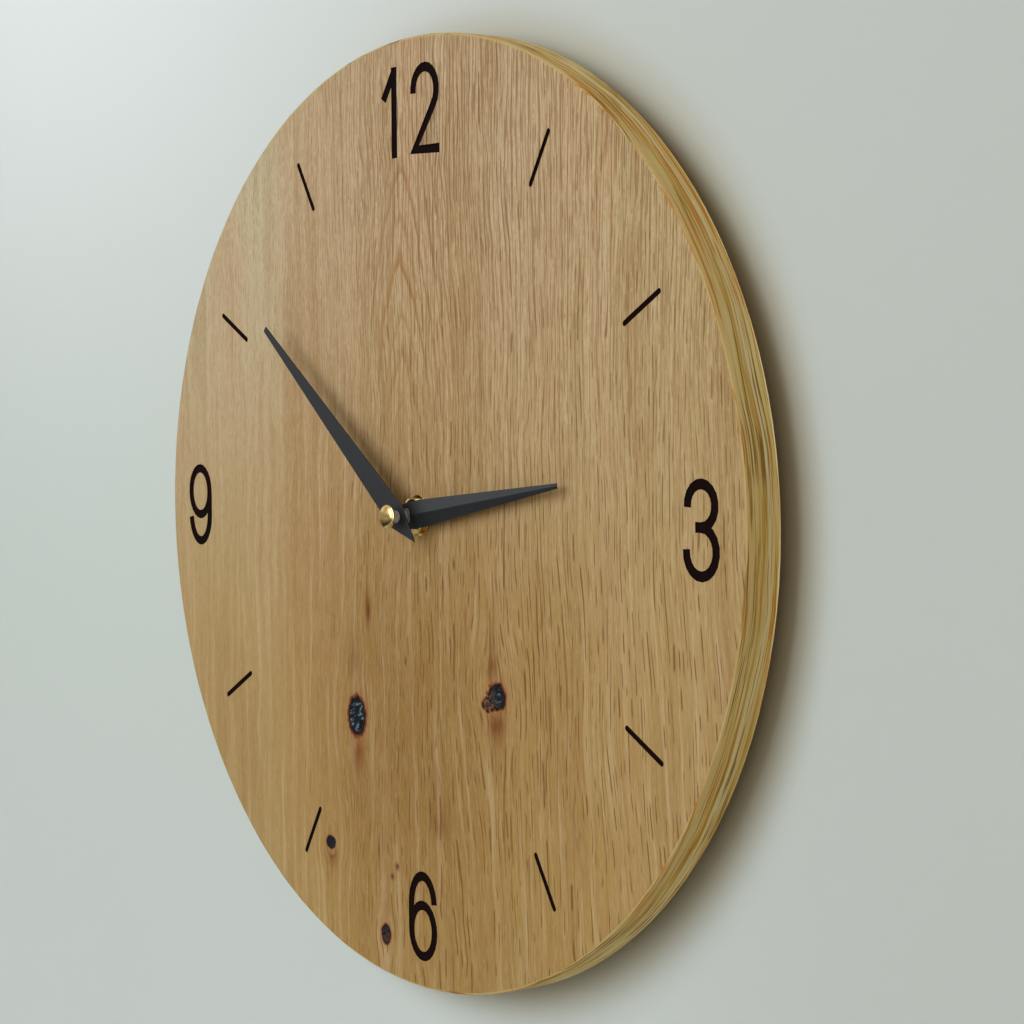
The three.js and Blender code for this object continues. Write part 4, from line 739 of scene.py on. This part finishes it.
def turned_brass():
    """Brass with fine rings round the hand axis, as a lathe leaves them."""
    s = Shade("turned_brass")
    x, y, z = s.place()
    rings = s.noise(s.vector(s.mul(s.radius(x, z), BRASS_RINGS), s.mul(y, BRASS_RINGS), 0.0))
    stain = s.noise(s.vector(x, y, z), scale=BRASS_STAIN_SCALE, detail=3)
    colour = s.mix(s.smooth(stain, STAINED_SPAN), *BRASS_TONES)
    round_axis = s.node("ShaderNodeTangent", direction_type="RADIAL", axis="Y").outputs[0]
    return s.set(Base_Color=colour, Roughness=s.blend(rings, *BRASS_ROUGH), Metallic=1.0,
                 Normal=s.bump(rings, *TURNED_BUMP), Tangent=round_axis,
                 Anisotropic=BRASS_ANISOTROPY).material


PAINT_TONES = linear(17, 19, 21), linear(22, 25, 27)
PAINT_FINE_SCALE = 2.2
PAINT_SLOW_SCALE = 0.08
PAINT_ROUGH = (0.36, 0.5)
PAINT_SPECULAR = 0.45


def black_paint():
    s = Shade("satin_black_paint")
    spot = s.vector(*s.place())
    fine = s.noise(spot, scale=PAINT_FINE_SCALE, detail=3, roughness=ROUGHER)
    slow = s.noise(spot, scale=PAINT_SLOW_SCALE)
    colour = s.mix(s.smooth(slow, TONE_SPAN), *PAINT_TONES)
    return s.set(Base_Color=colour, Roughness=s.blend(fine, *PAINT_ROUGH),
                 Normal=s.bump(fine, *PAINT_BUMP), Specular_IOR_Level=PAINT_SPECULAR).material


COPPER_TONES = linear(176, 92, 46), linear(140, 66, 30)
COPPER_HALF_WIRE = 0.09
COPPER_STRETCH = 3.0
COPPER_SCALE = 0.8
COPPER_ROUGH = 0.34
COPPER_METALLIC = 0.85


def wound_copper():
    s = Shade("wound_copper_wire")
    x, y, z = s.place()
    turns = s.math("PINGPONG", z, COPPER_HALF_WIRE)
    ridge = s.smooth(turns, (0.0, COPPER_HALF_WIRE))
    tone = s.noise(s.vector(x, y, s.mul(z, COPPER_STRETCH)), scale=COPPER_SCALE)
    colour = s.mix(s.smooth(tone, TONE_SPAN), *COPPER_TONES)
    return s.set(Base_Color=colour, Roughness=COPPER_ROUGH, Metallic=COPPER_METALLIC,
                 Normal=s.bump(ridge, *COPPER_BUMP)).material


BOARD_TONES = linear(34, 84, 50), linear(62, 120, 66)
BOARD_WEAVE_SCALE = 1.6
BOARD_TRACK_PITCH = 1.4
BOARD_TRACK_SCALE = 0.1
BOARD_TRACK_SWING = 6.0
BOARD_TRACK_SPAN = (0.55, 0.45)
BOARD_ROUGH = (0.32, 0.46)
BOARD_WEAVE_SHARE = 0.3


def green_board():
    s = Shade("green_circuit_board")
    x, y, z = s.place()
    weave = s.noise(s.vector(x, y, z), scale=BOARD_WEAVE_SCALE)
    bend = s.noise(s.vector(x, 0.0, z), scale=BOARD_TRACK_SCALE, detail=0)
    tracks = s.math("PINGPONG", s.add(z, s.mul(bend, BOARD_TRACK_SWING)), BOARD_TRACK_PITCH)
    copper_under = s.smooth(tracks, BOARD_TRACK_SPAN)
    colour = s.mix(s.mul(copper_under, 0.5), *BOARD_TONES)
    relief = s.add(copper_under, s.mul(weave, BOARD_WEAVE_SHARE))
    return s.set(Base_Color=colour, Roughness=s.blend(weave, *BOARD_ROUGH),
                 Normal=s.bump(relief, *BOARD_BUMP)).material


SLEEVE_TONES = linear(62, 92, 76), linear(50, 76, 64)
SLEEVE_METAL = linear(176, 178, 180)
# The metal band, measured from the raised end
SLEEVE_END_SPAN = (-2.6, -2.4)
SLEEVE_SCUFF = {"scale": 0.7, "detail": 4, "roughness": 0.7}
SLEEVE_ROUGH = (0.28, 0.42)


def cell_sleeve():
    """Plain green sleeve with a bare metal band at the raised end."""
    s = Shade("plain_cell_sleeve")
    x, y, z = s.place()
    raised_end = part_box("battery_cell")[1].x / MM
    metal = s.smooth(x, [raised_end + offset for offset in SLEEVE_END_SPAN])
    scuff = s.noise(s.vector(x, y, z), **SLEEVE_SCUFF)
    green = s.mix(s.smooth(scuff, SCUFFED_SPAN), *SLEEVE_TONES)
    colour = s.mix(metal, green, SLEEVE_METAL)
    return s.set(Base_Color=colour, Roughness=s.blend(scuff, *SLEEVE_ROUGH), Metallic=metal,
                 Normal=s.bump(scuff, *SLEEVE_BUMP)).material


# Mottled finishes: name, first and second tone, cycles per millimetre of the change of tone,
# least and most roughness, cycles per millimetre of the grain, and where they differ from a
# plain plastic the metallic share and the specular level
FINISHES = {
    "black_plastic": ("moulded_black_plastic", (30, 31, 33), (38, 39, 41), 0.06, (0.42, 0.56), 3.0),
    "white_plastic": ("moulded_white_plastic", (232, 230, 222), (222, 219, 208), 0.06,
                      (0.42, 0.56), 3.0),
    "grey_plastic": ("moulded_grey_plastic", (174, 175, 176), (160, 161, 163), 0.06,
                     (0.42, 0.56), 3.0),
    "steel": ("bright_steel", (168, 170, 173), (150, 152, 156), 0.3, (0.24, 0.4), 2.4, 1.0),
    "grey_metal": ("dull_grey_metal", (214, 214, 222), (196, 197, 206), 0.5, (0.4, 0.55), 5.0,
                   0.15),
    "rubber": ("matt_rubber", (26, 26, 27), (34, 34, 35), 0.3, (0.75, 0.9), 4.0, 0.0, 0.3),
    "magnet": ("bonded_magnet", (56, 57, 60), (66, 67, 70), 0.6, (0.5, 0.65), 5.0),
    "soft_iron": ("pressed_iron", (126, 128, 131), (108, 110, 114), 0.25, (0.38, 0.55), 2.8, 1.0),
    "epoxy": ("black_potting", (16, 17, 18), (24, 25, 26), 0.5, (0.2, 0.34), 1.5),
}
MATERIALS = {
    "oak": Oak().shade.material,
    "brass": turned_brass(),
    "copper": wound_copper(),
    "board": green_board(),
    "cell_sleeve": cell_sleeve(),
    "hand_paint": black_paint(),
    **{slot: mottled(*finish) for slot, finish in FINISHES.items()},
}

slot_of = {part["node"]: part["material_slot"] for part in frame["record"]["subparts"]}
body_of = {node: body for body, members in frame["record"]["behaviour"]["bodies"].items()
           for node in members}

# Angles in degrees: edges sharper than these stay sharp in the shading, facets flatter than
# FLAT_ANGLE are joined, and edges sharper than EASED_ANGLE are eased
SHARP_ANGLE = 20
PAINTED_SHARP_ANGLE = 4
TURNED_SHARP_ANGLE = 35
FLAT_ANGLE = 0.2
EASED_ANGLE = 40
EASED_SEGMENTS = 2
WELD = 1e-6

# Widths asked for the eased edges, in millimetres. Where some would overlap, Blender makes all
# those of the node narrower: on the case, the cover, the hour hand, its bush, the collar and
# the spacer.
EASED = {
    "movement_case": 0.25,
    "rear_cover": 0.25,
    "set_knob": 0.12,
    "brass_nut": 0.15,
    "brass_washer": 0.12,
    "hour_hand": 0.07,
    "minute_hand": 0.07,
    "hour_hand_bush": 0.12,
    "minute_collar": 0.12,
    "minute_spacer": 0.12,
}


def linked(name, data):
    obj = bpy.data.objects.new(name, data)
    bpy.context.scene.collection.objects.link(obj)
    return obj


def dress(obj, slot):
    obj.data.materials.clear()
    obj.data.materials.append(MATERIALS[slot])
    for polygon in obj.data.polygons:
        polygon.material_index = 0


def settle(obj, node, angle):
    """Shades a new piece smooth, gives it the node's material and puts it in the node's place."""
    for polygon in obj.data.polygons:
        polygon.use_smooth = True
    obj.data.set_sharp_from_angle(angle=math.radians(angle))
    dress(obj, slot_of[node])
    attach(obj, body_of[node])
    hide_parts(node)


def smoothed(node, angle, bevel):
    """A copy of a CAD node with its round faces shaded smooth and, where asked, eased edges."""
    data = nodes[node].data.copy()
    obj = linked(node + "_surface", data)
    mesh = bmesh.new()
    mesh.from_mesh(data)
    bmesh.ops.remove_doubles(mesh, verts=mesh.verts, dist=WELD)
    bmesh.ops.dissolve_limit(mesh, angle_limit=math.radians(FLAT_ANGLE), verts=mesh.verts,
                             edges=mesh.edges)
    mesh.to_mesh(data)
    mesh.free()
    if bevel > 0:
        easing = obj.modifiers.new("eased_edges", "BEVEL")
        easing.width = bevel * MM
        easing.segments = EASED_SEGMENTS
        easing.limit_method = "ANGLE"
        easing.angle_limit = math.radians(EASED_ANGLE)
        easing.use_clamp_overlap = True
        evaluated = obj.evaluated_get(bpy.context.evaluated_depsgraph_get())
        obj.data = bpy.data.meshes.new_from_object(evaluated)
        obj.modifiers.clear()
    settle(obj, node, angle)


TURNED_STEPS = 96


def turned(node, profile):
    """A closed piece turned round the hand axis from (radius, y) points in millimetres."""
    mesh = bmesh.new()
    angles = [math.tau * i / TURNED_STEPS for i in range(TURNED_STEPS)]
    rings = []
    for radius, level in profile:
        if radius == 0:
            rings.append([mesh.verts.new((0, level * MM, 0))])
            continue
        reach = radius * MM
        rings.append([mesh.verts.new((reach * math.cos(angle), level * MM,
                                      reach * math.sin(angle))) for angle in angles])
    for first, second in zip(rings, rings[1:]):
        for i in range(TURNED_STEPS):
            after = (i + 1) % TURNED_STEPS
            corners = [first[i % len(first)], first[after % len(first)],
                       second[after % len(second)], second[i % len(second)]]
            mesh.faces.new(list(dict.fromkeys(corners)))
    bmesh.ops.recalc_face_normals(mesh, faces=mesh.faces)
    data = bpy.data.meshes.new(node + "_turned")
    mesh.to_mesh(data)
    mesh.free()
    settle(linked(node + "_turned", data), node, TURNED_SHARP_ANGLE)


# The cap nut: heights of its skirt and bore as shares of its own, and bore and edge radius
CAP_SKIRT_SHARE = 0.27
CAP_BORE_SHARE = 0.66
CAP_BORE = 1.75
CAP_EDGE = 0.15
CAP_EDGE_STEPS = 5
DOME_RINGS = 14


def cap_nut():
    """The domed nut on the tip of the minute arbor, with its blind bore and rolled edge."""
    low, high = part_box("cap_nut")
    front, back, radius = low.y / MM, high.y / MM, high.x / MM
    tall = back - front
    skirt = back - tall * CAP_SKIRT_SHARE
    floor_level = back - tall * CAP_BORE_SHARE
    foot = radius - CAP_EDGE
    dome = skirt - CAP_EDGE / 2
    profile = [(0, floor_level), (CAP_BORE, floor_level), (CAP_BORE, back), (foot, back)]
    for i in range(1, CAP_EDGE_STEPS):
        angle = math.pi / 2 * i / CAP_EDGE_STEPS
        profile.append((radius - CAP_EDGE * (1 - math.sin(angle)),
                        back - CAP_EDGE * (1 - math.cos(angle))))
    profile.append((radius, back - CAP_EDGE))
    profile.append((radius, skirt))
    for i in range(DOME_RINGS):
        angle = math.pi / 2 * i / DOME_RINGS
        profile.append((foot * math.cos(angle), dome - (dome - front) * math.sin(angle)))
    profile.append((0, front))
    turned("cap_nut", profile)


for name, cad_object in nodes.items():
    dress(cad_object, slot_of[name])
for name in nodes:
    if name != "cap_nut":
        painted = slot_of[name] == "hand_paint"
        smoothed(name, PAINTED_SHARP_ANGLE if painted else SHARP_ANGLE, EASED.get(name, 0.0))
cap_nut()


def camera():
    data = bpy.data.cameras.new("photo_camera")
    data.sensor_width = SENSOR_WIDTH
    data.lens = CAMERA_LENS
    data.clip_start, data.clip_end = CAMERA_CLIP
    obj = linked("photo_camera", data)
    turn = (Matrix.Rotation(CAMERA_YAW, 4, "Z")
            @ Matrix.Rotation(math.pi / 2 - CAMERA_PITCH, 4, "X")
            @ Matrix.Rotation(CAMERA_ROLL, 4, "Z"))
    obj.matrix_world = Matrix.Translation(CAMERA_PLACE) @ turn
    bpy.context.scene.camera = obj


# Tones of the plaster, which paint light and shade on a plain wall: lit on the left, shaded on the
# right, a painted pool of window light, painted light low on the left, and painted warm shade round
# the disc
WALL_TONES_WITH_PAINTED_LIGHT = (linear(207, 215, 208), linear(200, 205, 198), linear(251, 255, 255),
              linear(214, 219, 215), linear(172, 152, 104))
FLOOR_TONES = (linear(214, 216, 213),) * len(WALL_TONES_WITH_PAINTED_LIGHT)
PAINTED_LIGHT_SIDE_SPAN = (-320.0, 200.0)
PAINTED_LIGHT_LOW_SPAN = (60.0, -260.0)
PAINTED_LIGHT_LOW_SIDE_SPAN = (200.0, 0.0)
PAINTED_WINDOW_LIGHT_PATCH = (-290, 300, 300, 220)
PAINTED_SHADE_SPAN = (DISC_RADIUS + 15, DISC_RADIUS - 6)
PAINTED_SHADE_SHARE = 0.55
PLASTER_CLOUDS = 0.004
PLASTER_CLOUD_SHARE = 0.06
PLASTER_GRAIN = 0.6
PLASTER_BUMP = (0.05, 0.2)
PLASTER_ROUGH = 0.9
PLASTER_SPECULAR = 0.1

# The wall's half width, its depth below and height above the hand axis, and its level in metres
WALL_HALF = (1.6, 0.45, 0.9)
WALL_LEVEL = 0.0003
# How near to the wall light from behind reaches through it, in millimetres
LIT_REACH = 25
FLOOR_LEVEL = -0.45
FLOOR_RADIUS = 1.05
FLOOR_STEPS = 96

# What camera rays see behind the wall, the light from all sides, and the room in mirrored rays
WORLD_SEEN = linear(198, 203, 199)
WORLD_TONE = (1.0, 0.74, 0.45)
WORLD_STRENGTH = 0.22
ROOM_DARK = linear(52, 50, 48)
ROOM_LIGHT = linear(248, 250, 250)
ROOM_UP_SPAN = (-0.35, 0.35)
ROOM_RIGHT_SPAN = (0.0, 0.7)

# Lamps aimed at the hub: place, diameter, watts and colour
LAMPS = {
    "key": ((-0.1, -2.0, 0.72), 1.9, 32, (0.893, 1.0, 1.104)),
    "side": ((1.35, -1.6, 0.3), 1.0, 5, (1.0, 0.93, 0.8)),
    "rear": ((0.12, 1.9, 0.2), 1.4, 30, (1.0, 1.0, 1.0)),
}


def stage_mesh(name, points, material):
    data = bpy.data.meshes.new(name)
    data.from_pydata(points, [], [list(range(len(points)))])
    data.materials.append(material)
    obj = linked(name, data)


def plaster(name, left, right, bright, low, painted_warm_shade):
    """Pale plaster with painted light and shade: lighter on the left, a painted pool of window
    light high on the left, and painted warm shade round the oak.
    """
    s = Shade(name)
    x, y, z = s.place()
    spot = s.vector(x, y, z)
    # Painted light: lighter on the left and darker and yellower on the right, then lighter low on
    # the left and a painted pool of window light high on the left
    colour = s.mix(s.smooth(x, PAINTED_LIGHT_SIDE_SPAN), left, right)
    colour = s.tint(colour, low, s.smooth(z, PAINTED_LIGHT_LOW_SPAN), s.smooth(x, PAINTED_LIGHT_LOW_SIDE_SPAN))
    colour = s.tint(colour, bright, s.glow(s.vector(x, 0.0, z), PAINTED_WINDOW_LIGHT_PATCH))
    # Painted warm shade round the disc, where the disc shades the wall and the oak's bounce tints
    # it
    colour = s.tint(colour, painted_warm_shade, s.smooth(s.radius(x, z), PAINTED_SHADE_SPAN), PAINTED_SHADE_SHARE)
    clouds = s.noise(spot, scale=PLASTER_CLOUDS)
    colour = s.tint(colour, (0.0, 0.0, 0.0), clouds, PLASTER_CLOUD_SHARE)
    fine = s.noise(spot, scale=PLASTER_GRAIN, detail=3)
    return s.set(Base_Color=colour, Roughness=PLASTER_ROUGH, Normal=s.bump(fine, *PLASTER_BUMP),
                 Specular_IOR_Level=PLASTER_SPECULAR)


def wall():
    """The wall that the clock hangs on, which shows from the front only.

    It also lets light from behind through onto whatever lies within LIT_REACH of it and is seen
    directly, so that the back of the clock is lit in views from behind.
    """
    s = plaster("pale_wall", *WALL_TONES_WITH_PAINTED_LIGHT)
    clear = s.node("ShaderNodeBsdfTransparent")
    choice = s.node("ShaderNodeMixShader")
    path = s.node("ShaderNodeLightPath").outputs
    near = s.math("LESS_THAN", path["Ray Length"], LIT_REACH * MM)
    first = s.math("LESS_THAN", path["Diffuse Depth"], 0.5)
    lets_in = s.mul(path["Is Shadow Ray"], s.mul(near, first))
    seen_from_behind = s.node("ShaderNodeNewGeometry").outputs["Backfacing"]
    shares = (s.math("MAXIMUM", seen_from_behind, lets_in), s.shader.outputs[0], clear.outputs[0])
    for socket, value in zip(choice.inputs, shares):
        s.feed(socket, value)
    s.feed(s.output.inputs["Surface"], choice.outputs[0])
    half_wide, down, up = WALL_HALF
    stage_mesh("wall", [(-half_wide, WALL_LEVEL, -down), (half_wide, WALL_LEVEL, -down),
                        (half_wide, WALL_LEVEL, up), (-half_wide, WALL_LEVEL, up)], s.material)


def floor():
    angles = [math.tau * i / FLOOR_STEPS for i in range(FLOOR_STEPS)]
    ring = [(FLOOR_RADIUS * math.cos(angle), FLOOR_RADIUS * math.sin(angle), FLOOR_LEVEL)
            for angle in angles]
    stage_mesh("floor", ring, plaster("pale_floor", *FLOOR_TONES).material)


def lamp(name, place, size, power, tone):
    data = bpy.data.lights.new(name, "AREA")
    data.shape = "ELLIPSE"
    data.size = data.size_y = size
    data.energy = power
    data.color = tone
    obj = linked(name, data)
    obj.location = place
    obj.rotation_mode = "QUATERNION"
    obj.rotation_quaternion = (-Vector(place)).to_track_quat("-Z", "Y")


def world():
    """Camera rays see a pale background. Mirrored rays see a room, light above and right."""
    made = bpy.data.worlds.new("soft_studio")
    bpy.context.scene.world = made
    made.use_nodes = True
    tree = made.node_tree
    tree.nodes.clear()

    def background(colour, strength=1.0):
        node = tree.nodes.new("ShaderNodeBackground")
        node.inputs["Strength"].default_value = strength
        if isinstance(colour, bpy.types.NodeSocket):
            tree.links.new(colour, node.inputs["Color"])
        else:
            node.inputs["Color"].default_value = (*colour, 1)
        return node.outputs[0]

    def choose(share, first, second):
        node = tree.nodes.new("ShaderNodeMixShader")
        for socket, value in zip(node.inputs, (share, first, second)):
            tree.links.new(value, socket)
        return node.outputs[0]

    def climb(value, span):
        node = tree.nodes.new("ShaderNodeMapRange")
        node.interpolation_type = "SMOOTHSTEP"
        tree.links.new(value, node.inputs["Value"])
        node.inputs["From Min"].default_value, node.inputs["From Max"].default_value = span
        return node.outputs["Result"]

    parts = tree.nodes.new("ShaderNodeSeparateXYZ")
    tree.links.new(tree.nodes.new("ShaderNodeTexCoord").outputs["Generated"], parts.inputs[0])
    lighter = tree.nodes.new("ShaderNodeMath")
    lighter.operation = "MAXIMUM"
    tree.links.new(climb(parts.outputs["Z"], ROOM_UP_SPAN), lighter.inputs[0])
    tree.links.new(climb(parts.outputs["X"], ROOM_RIGHT_SPAN), lighter.inputs[1])
    factor_socket, dark_socket, light_socket, result = Shade.COLOUR_SOCKETS
    room = tree.nodes.new("ShaderNodeMix")
    room.data_type = "RGBA"
    tree.links.new(lighter.outputs[0], room.inputs[factor_socket])
    room.inputs[dark_socket].default_value = (*ROOM_DARK, 1)
    room.inputs[light_socket].default_value = (*ROOM_LIGHT, 1)

    path = tree.nodes.new("ShaderNodeLightPath").outputs
    surface = choose(path["Is Glossy Ray"], background(WORLD_TONE, WORLD_STRENGTH),
                     background(room.outputs[result]))
    surface = choose(path["Is Transmission Ray"], surface, background(WORLD_SEEN))
    surface = choose(path["Is Camera Ray"], surface, background(WORLD_SEEN))
    tree.links.new(surface, tree.nodes.new("ShaderNodeOutputWorld").inputs["Surface"])


camera()
wall()
floor()
world()
for name, settings in LAMPS.items():
    lamp(name, *settings)

bpy.context.scene.view_settings.view_transform = "Standard"
